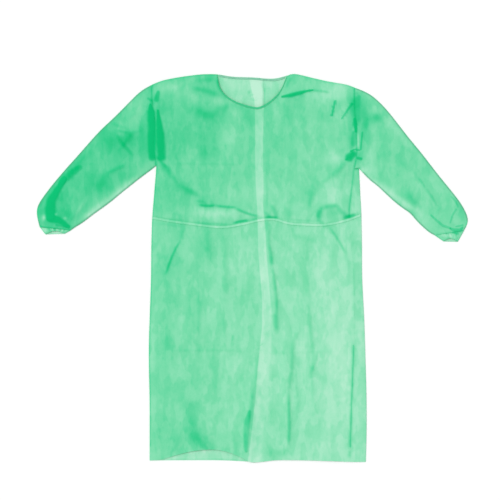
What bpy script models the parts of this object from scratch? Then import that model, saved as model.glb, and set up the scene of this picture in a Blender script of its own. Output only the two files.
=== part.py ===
# Visitor gown of thin spunbond cloth, laid flat on its back with the front up.
# Sizes are millimetres on the surface that the gown lies on: x runs across the
# gown from its centre front, y runs up towards the neck, and z is the height
# above the surface. Blender gets metres.

import math
from collections import namedtuple

import bmesh
import bpy
import numpy as np
from mathutils import Vector

# Driving sizes
MM = 0.001
WELD = 1e-6
CLOTH = 1.2
SEAM_GAP = 0.3
TRIM = 1.0
BINDING_WIDTH = 6.0
TIE_WIDTH = 8.0
FOLD_RADIUS = CLOTH + SEAM_GAP / 2
REST_HEIGHT = CLOTH + SEAM_GAP
BODY_PUFF = 3.2
PUFF_REACH = 22.0
HEM_SHARE = 0.45
HEM_REACH = 45.0
CUFF_GATHERS = 9
CUFF_RISE = 2.8
GATHER_HEIGHT = 0.7
MOUTH_SLANT = 9.0
ARMPIT_LEFT = 307.0
ARMPIT_RIGHT = 298.0
HEM = -577.0
YOKE = 420.0
YOKE_ROWS = 5
BELT = 140.0
BEND_REACH = 75.0
ARMHOLE_REACH = 0.2
CORNER_REACH = 0.05
CORNER_WIDENED = 1.8
SHARP = math.radians(50)

# Both long edges of the front panel, from shoulder to hem: the left edge is the
# armhole and then the side edge, the right edge the armhole and then the side
# seam, which lies a little in from the side.
Edge = namedtuple("Edge", "y left right")
FRONT_EDGES = [
    Edge(HEM, -321, 279),
    Edge(-398, -321, 284),
    Edge(-248, -323.5, 290),
    Edge(-128, -320, 293),
    Edge(-38, -317, 290),
    Edge(98, -315, 282),
    Edge(160, -312, 277),
    Edge(202, -309, 281),
    Edge(247, -305.5, 287),
    Edge(300, -301, 292),
    Edge(322, -302, 297),
    Edge(352, -308, 300),
    Edge(406, -306, 298),
    Edge(448, -305, 295),
    Edge(478, -309, 293),
    Edge(505, -315, 292),
    Edge(550, -313, 293.5),
]

# The right side is a fold of the back panel, not a seam.
Side = namedtuple("Side", "y right")
SIDE_FOLD = [
    Side(HEM, 327),
    Side(-500, 329),
    Side(-398, 329),
    Side(-278, 326),
    Side(-128, 321),
    Side(-38, 316),
    Side(82, 315),
    Side(157, 313),
    Side(247, 309),
    Side(300, 306.5),
]

# The line down the middle of the back where its two panels meet, edge to edge.
Meeting = namedtuple("Meeting", "y x")
BACK_OPENING = [
    Meeting(HEM, 6),
    Meeting(-518, 12),
    Meeting(-398, 24),
    Meeting(-248, 36),
    Meeting(-98, 42),
    Meeting(52, 29),
    Meeting(112, 27),
    Meeting(202, 21),
    Meeting(352, 18),
    Meeting(502, 21),
    Meeting(572, 21),
]

# Shoulders and necklines, from the left armhole to the right one.
Top = namedtuple("Top", "x front back")
TOP_LINE = [
    Top(-313, 550, 550),
    Top(-284, 562, 562),
    Top(-250, 569, 569),
    Top(-207, 576, 576),
    Top(-160, 581.5, 581.5),
    Top(-118, 580, 582),
    Top(-114, 555, 580.5),
    Top(-108, 536, 579),
    Top(-88, 514.5, 575),
    Top(-60, 498, 572.5),
    Top(-32, 488, 572),
    Top(0, 480.5, 571),
    Top(24, 489, 568),
    Top(48, 505, 566.5),
    Top(65, 521, 568),
    Top(77, 541, 572),
    Top(84, 560, 575),
    Top(90, 574, 577),
    Top(99, 581, 581),
    Top(117, 582, 582),
    Top(145, 575.5, 575.5),
    Top(189, 564, 564),
    Top(243, 554, 554),
    Top(270, 550.5, 550.5),
    Top(294, 541, 541),
]
NECK_LEFT, NECK_RIGHT = -118, 90

# The hem lines: the front's lifts in a shallow arc that shows the back below it.
Hem = namedtuple("Hem", "x front back")
HEM_LINE = [
    Hem(-325, -577, -577),
    Hem(-285, -574, -577),
    Hem(-245, -562, -576),
    Hem(-205, -551, -576),
    Hem(-165, -545, -576),
    Hem(-125, -544, -576),
    Hem(-85, -552, -577),
    Hem(-45, -569, -579),
    Hem(-25, -581, -581),
    Hem(12, -581, -581),
    Hem(45, -577, -577),
    Hem(130, -576, -576),
    Hem(210, -578, -578),
    Hem(290, -581, -581),
    Hem(330, -581, -581),
]

# The waist tie crosses the front from side to side.
Belt = namedtuple("Belt", "x y")
BELT_LINE = [
    Belt(-312, 151),
    Belt(-258, 141),
    Belt(-186, 131),
    Belt(-96, 123),
    Belt(-36, 133),
    Belt(24, 146),
    Belt(54, 146),
    Belt(90, 135),
    Belt(150, 130),
    Belt(201, 129),
    Belt(264, 142),
    Belt(312, 159),
]

# Each sleeve from the armhole to the cuff seam: its outer edge runs on from the
# shoulder, its inner edge from the armpit.
Station = namedtuple("Station", "along outer_x outer_y inner_x inner_y")
LEFT_SLEEVE = [
    Station(0.0, -313, 550, -300, 307),
    Station(0.1, -349, 530, -327, 287),
    Station(0.2, -390, 489, -354, 267),
    Station(0.3, -429, 450, -380, 246),
    Station(0.4, -468, 414, -407, 225),
    Station(0.5, -505, 373, -435, 201),
    Station(0.6, -542, 331, -465, 179),
    Station(0.7, -578, 291, -493, 159),
    Station(0.8, -614, 248, -521, 137),
    Station(0.88, -642, 211, -539, 126),
    Station(0.94, -664, 178, -550, 119),
    Station(0.97, -667, 151, -554, 116),
    Station(1.0, -651, 123, -558, 113),
]
RIGHT_SLEEVE = [
    Station(0.0, 294, 541, 307, 298.6),
    Station(0.1, 341, 521, 336, 267),
    Station(0.2, 384, 481, 363, 246),
    Station(0.3, 419, 438, 387, 223),
    Station(0.4, 456, 390, 412, 200),
    Station(0.5, 497, 341, 437, 180),
    Station(0.6, 535, 291, 461, 164),
    Station(0.7, 574, 243, 479, 142),
    Station(0.8, 608, 200, 502, 120),
    Station(0.88, 628, 166, 516, 108),
    Station(0.94, 636, 141, 526, 102),
    Station(1.0, 622, 113, 534, 98),
]

# Elastic cuff hems, from the sleeve's end to the mouth.
Cuff = namedtuple("Cuff", "outer_x outer_y inner_x inner_y")
LEFT_MOUTH = Cuff(-634, 101, -576, 103)
RIGHT_MOUTH = Cuff(603, 79, 560, 80)

# Soft folds of the top layer, each a rounded ridge from one end to the other.
Fold = namedtuple("Fold", "x1 y1 x2 y2 height width")
FOLDS = [
    # skirt
    Fold(24, 120, 36, 20, 2.6, 14),
    Fold(36, 20, 58, -180, 3.4, 15),
    Fold(-10, -310, -34, -600, 4.6, 17),
    Fold(88, -200, 93, -545, 3.6, 14),
    Fold(134, -80, 162, -240, 2.4, 17),
    Fold(174, -270, 160, -340, 2.4, 16),
    Fold(160, -330, 174, -470, 2.2, 17),
    Fold(-205, -430, -138, -550, 2.8, 19),
    Fold(-150, 118, -152, 20, 2.0, 17),
    Fold(-96, 10, -104, -200, 2.2, 18),
    Fold(-182, -110, -190, -260, 2.0, 18),
    Fold(-255, -190, -262, -330, 1.8, 24),
    Fold(225, -40, 232, -300, 1.6, 26),
    Fold(-230, -548, -60, -548, 2.2, 20),
    Fold(215, -600, 205, -480, 2.0, 24),
    # blousing over the waist tie
    Fold(-190, 190, -120, 188, 3.0, 14),
    Fold(-120, 188, -10, 166, 2.8, 14),
    Fold(-160, 156, -40, 152, 1.8, 18),
    Fold(60, 168, 170, 156, 1.6, 18),
    Fold(20, 160, 60, 182, 1.8, 13),
    Fold(184, 172, 236, 192, 2.6, 14),
    Fold(236, 190, 268, 152, 2.2, 11),
    # chest
    Fold(70, 511, 158, 533, 3.2, 13),
    Fold(232, 505, 221, 452, 3.0, 10),
    Fold(276, 502, 246, 444, 2.8, 12),
    Fold(-230, 545, -96, 524, 2.0, 14),
    Fold(-285, 300, -180, 196, 2.6, 22),
    Fold(282, 322, 190, 228, 2.6, 20),
    Fold(-200, 450, -120, 470, 1.6, 24),
    Fold(-60, 420, -90, 270, 1.4, 26),
    Fold(120, 430, 130, 250, 1.4, 26),
    # tucks beside the armholes
    Fold(-296, 452, -290, 330, 5.0, 13),
    Fold(-324, 470, -324, 330, 5.0, 11),
    Fold(286, 425, 280, 372, 3.0, 12),
    Fold(296, 326, 268, 316, 3.6, 13),
    Fold(300, 525, 318, 440, 2.4, 17),
    Fold(318, 445, 382, 452, 2.0, 18),
    # left sleeve
    Fold(-440, 408, -372, 334, 3.0, 13),
    Fold(-468, 398, -345, 410, 2.2, 18),
    Fold(-455, 276, -388, 306, 2.6, 13),
    Fold(-560, 300, -625, 175, 4.4, 20),
    Fold(-612, 170, -585, 122, 3.0, 15),
    Fold(-545, 250, -540, 160, 2.4, 14),
    # right sleeve
    Fold(478, 268, 534, 186, 2.8, 12),
    Fold(520, 158, 606, 120, 3.2, 13),
    Fold(576, 216, 604, 170, 2.4, 11),
    Fold(448, 226, 478, 196, 2.4, 15),
    Fold(380, 420, 420, 330, 2.0, 22),
]
FOLD_END = 0.22

# Free ends of the waist tie, seen through the front.
Place = namedtuple("Place", "x y")
LEFT_TAIL = [
    Place(-294, 145),
    Place(-268, 141),
    Place(-240, 132),
    Place(-226, 114),
    Place(-231, 90),
    Place(-243, 58),
    Place(-255, 22),
    Place(-267, -4),
    Place(-277, -22),
]
RIGHT_TAIL = [
    Place(288, 158),
    Place(263, 152),
    Place(246, 174),
    Place(226, 188),
    Place(203, 185),
    Place(186, 170),
    Place(184, 152),
    Place(194, 135),
    Place(212, 120),
    Place(234, 90),
    Place(262, 44),
]
TAIL_STEPS = 3

# Front panel: where its columns meet the top line, beside the table's own rows.
EXTRA_COLUMNS = (-298, -267, -228, -184, -139, -74, -46, -16, 12, 36, 56, 70, 131, 167, 216)
ROW_HEIGHTS = (
    *np.linspace(HEM, 55, 18),
    80,
    104,
    122,
    BELT - TIE_WIDTH / 2,
    BELT + TIE_WIDTH / 2,
    158,
    176,
    200,
    248,
    ARMPIT_RIGHT,
    ARMPIT_LEFT,
    335,
    363,
    391,
    YOKE,
)
BACK_LEFT_COLUMNS = (-313, -250, -160, -118, -88, -60, -32, 0, 21)
BACK_RIGHT_COLUMNS = (21, 48, 77, 99, 145, 216, 294)
WRAP_SHARES = np.array((0, 0.3, 0.65, 1))
SLEEVE_ROWS = 18
BINDING_POINTS = 6
FOLD_ANGLES = (-45, 0, 45)


def smooth(keys, values, at):
    """Values between a table's rows, on a cubic that passes through each row."""
    keys, values = np.asarray(keys, float), np.asarray(values, float)
    at = np.clip(at, keys[0], keys[-1])
    slopes = np.gradient(values, keys)
    i = np.clip(np.searchsorted(keys, at) - 1, 0, len(keys) - 2)
    span = keys[i + 1] - keys[i]
    t = (at - keys[i]) / span
    start = (1 + 2 * t) * (1 - t) ** 2 * values[i] + t * (1 - t) ** 2 * span * slopes[i]
    end = t * t * (3 - 2 * t) * values[i + 1] + t * t * (t - 1) * span * slopes[i + 1]
    return start + end


def column(table, name):
    return [getattr(row, name) for row in table]


def looked_up(table, key, name, at):
    return smooth(column(table, key), column(table, name), at)


def straight(table, key, name, at):
    return np.interp(at, column(table, key), column(table, name))


def eased(share):
    share = np.clip(share, 0, 1)
    return share * share * (3 - 2 * share)


def outline():
    """The gown's outline on the table, as one closed line."""
    right_side = [(row.right, row.y) for row in SIDE_FOLD[::-1]]
    left_side = [(row.left, row.y) for row in FRONT_EDGES if row.y <= ARMPIT_LEFT]
    points = [(row.x, row.back) for row in TOP_LINE]
    points += [(s.outer_x, s.outer_y) for s in RIGHT_SLEEVE[1:]]
    points += [(RIGHT_MOUTH.outer_x, RIGHT_MOUTH.outer_y), (RIGHT_MOUTH.inner_x, RIGHT_MOUTH.inner_y)]
    points += [(s.inner_x, s.inner_y) for s in RIGHT_SLEEVE[:0:-1]]
    points += right_side + left_side
    points += [(s.inner_x, s.inner_y) for s in LEFT_SLEEVE[1:]]
    points += [(LEFT_MOUTH.inner_x, LEFT_MOUTH.inner_y), (LEFT_MOUTH.outer_x, LEFT_MOUTH.outer_y)]
    points += [(s.outer_x, s.outer_y) for s in LEFT_SLEEVE[:0:-1]]
    return np.array(points, float)


def along_segment(points, start, end):
    """How far each point lies from a segment, and its share of the way along it."""
    start, end = np.asarray(start, float), np.asarray(end, float)
    run = end - start
    share = np.clip((points - start) @ run / (run @ run), 0, 1)
    return np.linalg.norm(points - start - share[..., None] * run, axis=-1), share


OUTLINE = outline()


def inset(points):
    """Each point's distance from the gown's outline, the hem left out."""
    nearest = np.full(points.shape[:-1], np.inf)
    for start, end in zip(OUTLINE, np.roll(OUTLINE, -1, axis=0)):
        if start[1] == end[1] == HEM:
            continue
        nearest = np.minimum(nearest, along_segment(points, start, end)[0])
    return nearest


def ridges(points):
    """Height that the soft folds add at each point."""
    total = np.zeros(points.shape[:-1])
    for fold in FOLDS:
        away, share = along_segment(points, (fold.x1, fold.y1), (fold.x2, fold.y2))
        ends = eased(share / FOLD_END) * eased((1 - share) / FOLD_END)
        total += fold.height * np.exp(-((away / fold.width) ** 2)) * ends
    return total


def top_height(points):
    """Height of the top layer's underside over the table."""
    near_edge = 1 - np.exp(-inset(points) / PUFF_REACH)
    near_hem = HEM_SHARE + (1 - HEM_SHARE) * (1 - np.exp(-(points[..., 1] - HEM) / HEM_REACH))
    near_hem = np.clip(near_hem, HEM_SHARE, 1)
    return REST_HEIGHT + (BODY_PUFF * near_hem + ridges(points)) * near_edge


def raised(plan, height):
    """Plan points with a height, as points in space."""
    return np.concatenate([plan, np.broadcast_to(height, plan.shape[:-1])[..., None]], axis=-1)


def lifted(points, height):
    return points + np.array((0, 0, height))


def cloth_wall(name, outer, inner, material, closed=False, keep=None):
    """A closed wall of cloth between two skins, each given as a grid of points.

    The outer skin is laid as a grid of faces, drawn out as an extrusion, and the new
    skin goes to the inner points. A closed grid is a tube, whose first and last
    columns are welded. keep picks the grid's cells, where not all of them are cloth.
    """
    if closed:
        outer, inner = (np.concatenate([grid, grid[:, :1]], axis=1) for grid in (outer, inner))
    rows, columns = outer.shape[:2]
    mesh = bmesh.new()
    bmesh.ops.create_grid(mesh, x_segments=columns - 1, y_segments=rows - 1, size=1)
    place = mesh.verts.layers.int.new("place")
    for index, vertex in enumerate(mesh.verts):
        vertex[place] = index
        vertex.co = Vector(outer.reshape(-1, 3)[index]) * MM
    if keep is not None:
        cells = np.argwhere([[not keep(i, j) for j in range(columns - 1)] for i in range(rows - 1)])
        first = {i * columns + j for i, j in cells}
        empty = [face for face in mesh.faces if min(v[place] for v in face.verts) in first]
        bmesh.ops.delete(mesh, geom=empty, context="FACES")
    if closed:
        bmesh.ops.remove_doubles(mesh, verts=mesh.verts, dist=WELD)
    drawn = bmesh.ops.extrude_face_region(mesh, geom=mesh.faces[:])["geom"]
    for vertex in drawn:
        if isinstance(vertex, bmesh.types.BMVert):
            vertex.co = Vector(inner.reshape(-1, 3)[vertex[place]]) * MM
    bmesh.ops.recalc_face_normals(mesh, faces=mesh.faces)
    data = bpy.data.meshes.new(name)
    mesh.to_mesh(data)
    mesh.free()
    data.attributes.remove(data.attributes["place"])
    data.shade_smooth()
    data.set_sharp_from_angle(angle=SHARP)
    data.materials.append(material)
    piece = bpy.data.objects.new(name, data)
    bpy.data.collections["visitor_gown"].objects.link(piece)
    return piece


def belted(plan_x, y):
    """A row's height where the rows near the waist bend to follow the waist tie."""
    bend = looked_up(BELT_LINE, "x", "y", plan_x) - BELT
    return y + bend * eased(1 - np.abs(y - BELT) / BEND_REACH)


def hemmed(plan_x, y, layer):
    """A row's height where the lowest rows bend to follow the layer's hem line."""
    bend = looked_up(HEM_LINE, "x", layer, plan_x) - HEM
    return y + bend * eased(1 - (y - HEM) / BEND_REACH)


def body_rows(columns, layer, low, high):
    """Plan points of a body panel: straight rows, then rows that rise to the top line.

    columns are places on the top line, low and high the panel's two long edges as
    functions of the height.
    """
    columns = np.asarray(columns, float)
    share = (columns - columns[0]) / (columns[-1] - columns[0])
    top = straight(TOP_LINE, "x", layer, columns)
    rows = []
    for y in ROW_HEIGHTS:
        x = low(y) + (high(y) - low(y)) * share
        bent = hemmed(x, belted(x, np.full_like(x, y)), layer)
        rows.append(np.stack([x, bent], axis=-1))
    upper = [YOKE + (top - YOKE) * step / YOKE_ROWS for step in range(1, YOKE_ROWS + 1)]
    for y in (*upper[:-1], top - BINDING_WIDTH, top):
        x = low(y) + (high(y) - low(y)) * share
        rows.append(np.stack([x, y], axis=-1))
    return np.array(rows)


def front_left(y):
    return looked_up(FRONT_EDGES, "y", "left", y)


def front_right(y):
    return looked_up(FRONT_EDGES, "y", "right", y)


def back_opening(y):
    return looked_up(BACK_OPENING, "y", "x", y)


def left_of_opening(y):
    return back_opening(y) - SEAM_GAP


def front_grid():
    """Underside points of the front panel, hem row first, left column first."""
    columns = sorted({*column(TOP_LINE, "x"), *EXTRA_COLUMNS})
    plan = body_rows(columns, "front", front_left, front_right)
    return raised(plan, top_height(plan)), columns


def front_panel(under, material):
    return cloth_wall("front_panel", lifted(under, CLOTH), under, material)


def row_at(y):
    """The number of the body row that lies at this height."""
    return list(ROW_HEIGHTS).index(y)


def back_panel_left(material):
    plan = body_rows(BACK_LEFT_COLUMNS, "back", front_left, left_of_opening)
    return cloth_wall("back_panel_left", raised(plan, 0), raised(plan, CLOTH), material)


def wrap_plan(rows):
    """Plan points of the right back panel's strip that folds over to the front.

    The columns run from the side fold in to the side seam.
    """
    heights = np.array(ROW_HEIGHTS[: rows + 1])
    heights[-1] -= 2 * SEAM_GAP
    fold = looked_up(SIDE_FOLD, "y", "right", heights) - FOLD_RADIUS
    seam = front_right(heights) + SEAM_GAP
    x = fold[:, None] + (seam - fold)[:, None] * WRAP_SHARES
    y = np.broadcast_to(heights[:, None], x.shape)
    y = hemmed(x, belted(x, y), "back")
    return np.stack([x, y], axis=-1)


def back_panel_right(material):
    """Flat under the gown, then round the side fold and in to the side seam."""
    armpit = row_at(ARMPIT_RIGHT)
    below = slice(0, armpit + 1)
    plan = body_rows(BACK_RIGHT_COLUMNS, "back", back_opening, front_right)
    strip = wrap_plan(armpit)
    flat = plan.shape[1]
    turned = flat + 1 + len(FOLD_ANGLES)
    spare = np.repeat(plan[:, -1:], turned - flat + strip.shape[1], axis=1)
    spare[below, 0] = strip[:, 0]
    spare[below, 1 : turned - flat] = strip[:, :1]
    plan = np.concatenate([plan, spare], axis=1)
    outer, inner = raised(plan, 0), raised(plan, CLOTH)
    for n, angle in enumerate(FOLD_ANGLES):
        turn = math.radians(angle)
        for grid, radius in ((outer, FOLD_RADIUS), (inner, SEAM_GAP / 2)):
            grid[below, flat + 1 + n, 0] += radius * math.cos(turn)
            grid[below, flat + 1 + n, 2] = FOLD_RADIUS + radius * math.sin(turn)
    under = raised(strip, top_height(strip))
    inner[below, turned:] = under
    outer[below, turned:] = lifted(under, CLOTH)
    return cloth_wall(
        "back_panel_right", outer, inner, material, keep=lambda i, j: j < flat - 1 or i < armpit
    )


def flattened_ring(low, top, across):
    """One ring of a tube that lies flat: its outer and its inner points.

    low holds the lower layer's plan points from the outer edge to the inner one, top
    the upper layer's points on its underside, and across the way between the edges.
    """
    ends = (low[0] + across * FOLD_RADIUS, low[-1] - across * FOLD_RADIUS)
    lower = np.concatenate([ends[:1], low[1:-1], ends[1:]])
    upper = np.concatenate([ends[:1], top[1:-1, :2], ends[1:]])
    rings = []
    for radius, floor, rise in ((FOLD_RADIUS, 0, CLOTH), (SEAM_GAP / 2, CLOTH, 0)):
        ring = [(*place, floor) for place in lower]
        for angle in FOLD_ANGLES:
            turn = math.radians(angle)
            place = ends[1] + across * radius * math.cos(turn)
            ring.append((*place, FOLD_RADIUS + radius * math.sin(turn)))
        ring += [(*place, z + rise) for place, z in zip(upper[::-1], top[::-1, 2])]
        for angle in FOLD_ANGLES[::-1]:
            turn = math.radians(angle)
            place = ends[0] - across * radius * math.cos(turn)
            ring.append((*place, FOLD_RADIUS + radius * math.sin(turn)))
        rings.append(ring)
    return rings


def along_sleeve(stations, along):
    """The outer and the inner edge of a sleeve at a share of its length."""
    outer, inner = (
        np.array([looked_up(stations, "along", f"{edge}_{axis}", along) for axis in "xy"])
        for edge in ("outer", "inner")
    )
    return outer, inner


def sleeve(name, stations, armhole, material, reach=ARMHOLE_REACH, widened=1):
    """A flat tube from the armhole to the cuff seam.

    armhole holds the plan points of the armhole from the shoulder to the armpit, and
    its form is felt within reach, a share of the sleeve's length. Where the armhole
    turns a corner just before the armpit, its last step is widened in the sleeve, so
    that the sleeve's rows don't run over each other there.
    """
    steps = np.linalg.norm(np.diff(armhole, axis=0), axis=1)
    steps[-1] *= widened
    share = np.concatenate([[0], np.cumsum(steps)]) / steps.sum()
    chord = armhole[0] + (armhole[-1] - armhole[0]) * share[:, None]
    rings = []
    for along in np.linspace(0, 1, SLEEVE_ROWS + 1):
        first, last = along_sleeve(stations, along)
        line = first + (last - first) * share[:, None]
        line += (armhole - chord) * eased(1 - along / reach)
        if along == 0:
            line = armhole
        top = raised(line, top_height(line))
        top[[0, -1], 2] = REST_HEIGHT
        across = (last - first) / np.linalg.norm(last - first)
        rings.append(flattened_ring(line, top, across))
    outer, inner = np.array(rings).swapaxes(0, 1)
    return cloth_wall(name, outer, inner, material, closed=True)


def cuff_band(name, stations, mouth, material):
    """The gathered elastic hem at a sleeve's end, an open flattened ring.

    Its upper layer ends short of the lower one, so the mouth shows from above.
    """
    first, last = along_sleeve(stations, 1.0)
    mouth_first = np.array((mouth.outer_x, mouth.outer_y), float)
    mouth_last = np.array((mouth.inner_x, mouth.inner_y), float)
    share = np.linspace(0, 1, 4 * CUFF_GATHERS + 1)
    swell = np.sin(math.pi * share)
    gathers = GATHER_HEIGHT * np.sin(2 * math.pi * CUFF_GATHERS * share) * swell
    run = (mouth_first + mouth_last - first - last) / 2
    back = run / np.linalg.norm(run) * MOUTH_SLANT
    start = SEAM_GAP * 2 / np.linalg.norm(run)
    rings = []
    for along in (start, 0.5, 1.0):
        low = first + (mouth_first - first) * along
        high = last + (mouth_last - last) * along
        line = low + (high - low) * share[:, None]
        upper = line - back * swell[:, None] * along ** 2
        top = raised(upper, REST_HEIGHT + CUFF_RISE * np.sqrt(swell) + gathers)
        top[[0, -1], 2] = REST_HEIGHT
        rings.append(flattened_ring(line, top, (high - low) / np.linalg.norm(high - low)))
    outer, inner = np.array(rings).swapaxes(0, 1)
    return cloth_wall(name, outer, inner, material, closed=True)


def on_top(name, lower, upper, material):
    """A flat strip of trim that lies on cloth, from two rows of the cloth's own points."""
    under = lifted(np.stack([lower, upper]), SEAM_GAP)
    return cloth_wall(name, lifted(under, TRIM), under, material)


def front_binding(under, columns, material):
    """Binding along the front neckline, on the panel's last two rows."""
    neck = slice(columns.index(NECK_LEFT), columns.index(NECK_RIGHT) + 1)
    lower, edge = lifted(under[-2:, neck], CLOTH)
    return on_top("neck_binding_front", lower, edge, material)


def back_binding(name, start, end, material):
    """Binding along one side of the back neckline, on the back panel."""
    x = np.linspace(start, end, BINDING_POINTS)
    edge = np.stack([x, straight(TOP_LINE, "x", "back", x) - SEAM_GAP], axis=-1)
    lower = edge - np.array((0, BINDING_WIDTH))
    return on_top(name, raised(lower, CLOTH), raised(edge, CLOTH), material)


def waist_tie(under, material):
    """The tie's stretch across the front, from the left side to the right fold."""
    low, high = (row_at(BELT + side * TIE_WIDTH / 2) for side in (-1, 1))
    strip = wrap_plan(row_at(ARMPIT_RIGHT))[:, ::-1]
    strip = raised(strip, top_height(strip))
    rows = [lifted(np.concatenate([under[i], strip[i]]), CLOTH) for i in (low, high)]
    return on_top("waist_tie_front", *rows, material)


def tie_tail(name, places, material):
    """A free end of the tie, lying on the back panel inside the gown."""
    path = np.array(places, float)
    at = np.linspace(0, len(path) - 1, (len(path) - 1) * TAIL_STEPS + 1)
    line = np.stack([smooth(range(len(path)), path[:, axis], at) for axis in (0, 1)], axis=-1)
    run = np.gradient(line, axis=0)
    side = np.stack([-run[:, 1], run[:, 0]], axis=-1)
    side *= TIE_WIDTH / 2 / np.linalg.norm(run, axis=1)[:, None]
    return on_top(name, raised(line - side, CLOTH), raised(line + side, CLOTH), material)


def cloth_material(name, colour, roughness):
    material = bpy.data.materials.new(name)
    material.use_nodes = True
    shader = material.node_tree.nodes["Principled BSDF"]
    shader.inputs["Base Color"].default_value = (*colour, 1)
    shader.inputs["Roughness"].default_value = roughness
    shader.inputs["Metallic"].default_value = 0
    return material


def centre_on_origin(pieces):
    """Moves the whole gown so that the middle of its underside is the origin."""
    corners = np.array([vertex.co for piece in pieces for vertex in piece.data.vertices])
    middle = (corners.min(axis=0) + corners.max(axis=0)) / 2
    for piece in pieces:
        for vertex in piece.data.vertices:
            vertex.co -= Vector((middle[0], middle[1], 0))


def main():
    for found in list(bpy.data.objects):
        bpy.data.objects.remove(found)
    gown = bpy.data.collections.new("visitor_gown")
    bpy.context.scene.collection.children.link(gown)
    cloth = cloth_material("spunbond", (0.16, 0.72, 0.42), 0.75)
    trim = cloth_material("binding", (0.07, 0.58, 0.30), 0.7)
    band = cloth_material("elastic", (0.22, 0.75, 0.48), 0.8)

    under, columns = front_grid()
    outward = np.array((SEAM_GAP, 0))
    left_armhole = under[row_at(ARMPIT_LEFT) :, 0, :2][::-1] - outward
    right_armhole = under[row_at(ARMPIT_RIGHT) :, -1, :2][::-1] + outward
    corner = np.array([(RIGHT_SLEEVE[0].inner_x, RIGHT_SLEEVE[0].inner_y)])
    right_armhole = np.concatenate([right_armhole, corner])
    middle = BACK_OPENING[-1].x
    back_neck_left = (NECK_LEFT + BINDING_WIDTH, middle - 2 * SEAM_GAP)
    back_neck_right = (middle + SEAM_GAP, NECK_RIGHT - BINDING_WIDTH)

    pieces = [
        front_panel(under, cloth),
        back_panel_left(cloth),
        back_panel_right(cloth),
        sleeve("sleeve_left", LEFT_SLEEVE, left_armhole, cloth),
        sleeve("sleeve_right", RIGHT_SLEEVE, right_armhole, cloth, CORNER_REACH, CORNER_WIDENED),
        cuff_band("cuff_band_left", LEFT_SLEEVE, LEFT_MOUTH, band),
        cuff_band("cuff_band_right", RIGHT_SLEEVE, RIGHT_MOUTH, band),
        front_binding(under, columns, trim),
        back_binding("neck_binding_back_left", *back_neck_left, trim),
        back_binding("neck_binding_back_right", *back_neck_right, trim),
        waist_tie(under, trim),
        tie_tail("waist_tail_left", LEFT_TAIL, trim),
        tie_tail("waist_tail_right", RIGHT_TAIL, trim),
    ]
    centre_on_origin(pieces)


main()
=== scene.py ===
# %% [markdown]
# # A visitor gown of thin green cloth, laid flat
# A visitor gown is cut from spunbond cloth, a thin felt of melted plastic threads
# that lets light through. Laid out on its back it is a few layers of cloth, one on
# another, and most of what the eye sees is how many layers lie over each other:
# where there is one, the green is pale, and where a fold doubles it, it is deep.
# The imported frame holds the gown's pieces as plain solids. This script lays a fine
# shell of cloth on each one, creases it, and gives it its finish.

# %% Load the frame
import math
from collections import namedtuple

import bpy
import numpy as np
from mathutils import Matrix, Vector
from mathutils.bvhtree import BVHTree
from mathutils.kdtree import KDTree


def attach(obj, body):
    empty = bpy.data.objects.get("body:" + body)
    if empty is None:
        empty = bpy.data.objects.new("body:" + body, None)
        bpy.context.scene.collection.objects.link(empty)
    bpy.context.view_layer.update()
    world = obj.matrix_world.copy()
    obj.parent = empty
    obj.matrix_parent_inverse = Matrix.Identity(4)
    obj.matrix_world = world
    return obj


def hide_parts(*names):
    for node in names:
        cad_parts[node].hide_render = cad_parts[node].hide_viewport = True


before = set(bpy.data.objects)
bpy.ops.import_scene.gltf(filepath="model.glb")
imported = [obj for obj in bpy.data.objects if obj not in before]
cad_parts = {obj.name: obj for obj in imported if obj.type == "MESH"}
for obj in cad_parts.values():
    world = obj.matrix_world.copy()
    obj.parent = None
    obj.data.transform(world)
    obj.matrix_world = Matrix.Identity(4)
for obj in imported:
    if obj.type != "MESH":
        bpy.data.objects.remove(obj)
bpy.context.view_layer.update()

MM = 0.001
print("nodes in the frame:", ", ".join(sorted(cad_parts)))

# %% [markdown]
# ## From a solid's mesh to a fine shell
# A shell could be cut anew from flat sheets, but the frame already holds each
# piece's form, so the shell starts as a copy of it. The copy is welded, because the
# frame's meshes are loose triangles, and its triangles are paired into four-sided
# faces, because subdivision keeps those smooth. The squarest pairs are made first,
# in four rounds. The cut edges are marked, so that the subdivision leaves them sharp.

# %% Copying a piece
WELD = 0.00001
SHARP = math.radians(60)
NEARLY_FLAT = math.radians(40)
PAIRING = [math.radians(turn) for turn in (15, 30, 50, 180)]


def only(piece):
    """Selects one object alone and makes it the active one."""
    bpy.ops.object.select_all(action="DESELECT")
    piece.select_set(True)
    bpy.context.view_layer.objects.active = piece


def copied(node, name):
    """A node's mesh as a new object: welded, in four-sided faces, its cut edges marked."""
    piece = bpy.data.objects.new(name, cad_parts[node].data.copy())
    piece.data.name = name
    piece.data.materials.clear()
    bpy.context.scene.collection.objects.link(piece)
    only(piece)
    bpy.ops.mesh.customdata_custom_splitnormals_clear()
    bpy.ops.object.mode_set(mode="EDIT")
    bpy.ops.mesh.select_all(action="SELECT")
    bpy.ops.mesh.remove_doubles(threshold=WELD)
    for shape in PAIRING:
        bpy.ops.mesh.tris_convert_to_quads(face_threshold=NEARLY_FLAT, shape_threshold=shape)
    bpy.ops.mesh.select_all(action="DESELECT")
    bpy.ops.mesh.select_mode(type="EDGE")
    bpy.ops.mesh.edges_select_sharp(sharpness=SHARP)
    bpy.ops.transform.edge_crease(value=1)
    bpy.ops.object.mode_set(mode="OBJECT")
    return piece


# %% Reading and moving a mesh's points
def rows_of(parts, kind):
    """What a mesh holds for each point or face, as rows of x, y and z."""
    flat = np.empty(len(parts) * 3, np.float32)
    parts.foreach_get(kind, flat)
    return flat.reshape(-1, 3)


def points_of(piece):
    """A mesh's points, in millimetres."""
    return rows_of(piece.data.vertices, "co").astype(float) / MM


def move_points(piece, points):
    """Gives a mesh's points new places, in millimetres."""
    piece.data.vertices.foreach_set("co", (points * MM).astype(np.float32).ravel())
    piece.data.update()


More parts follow.
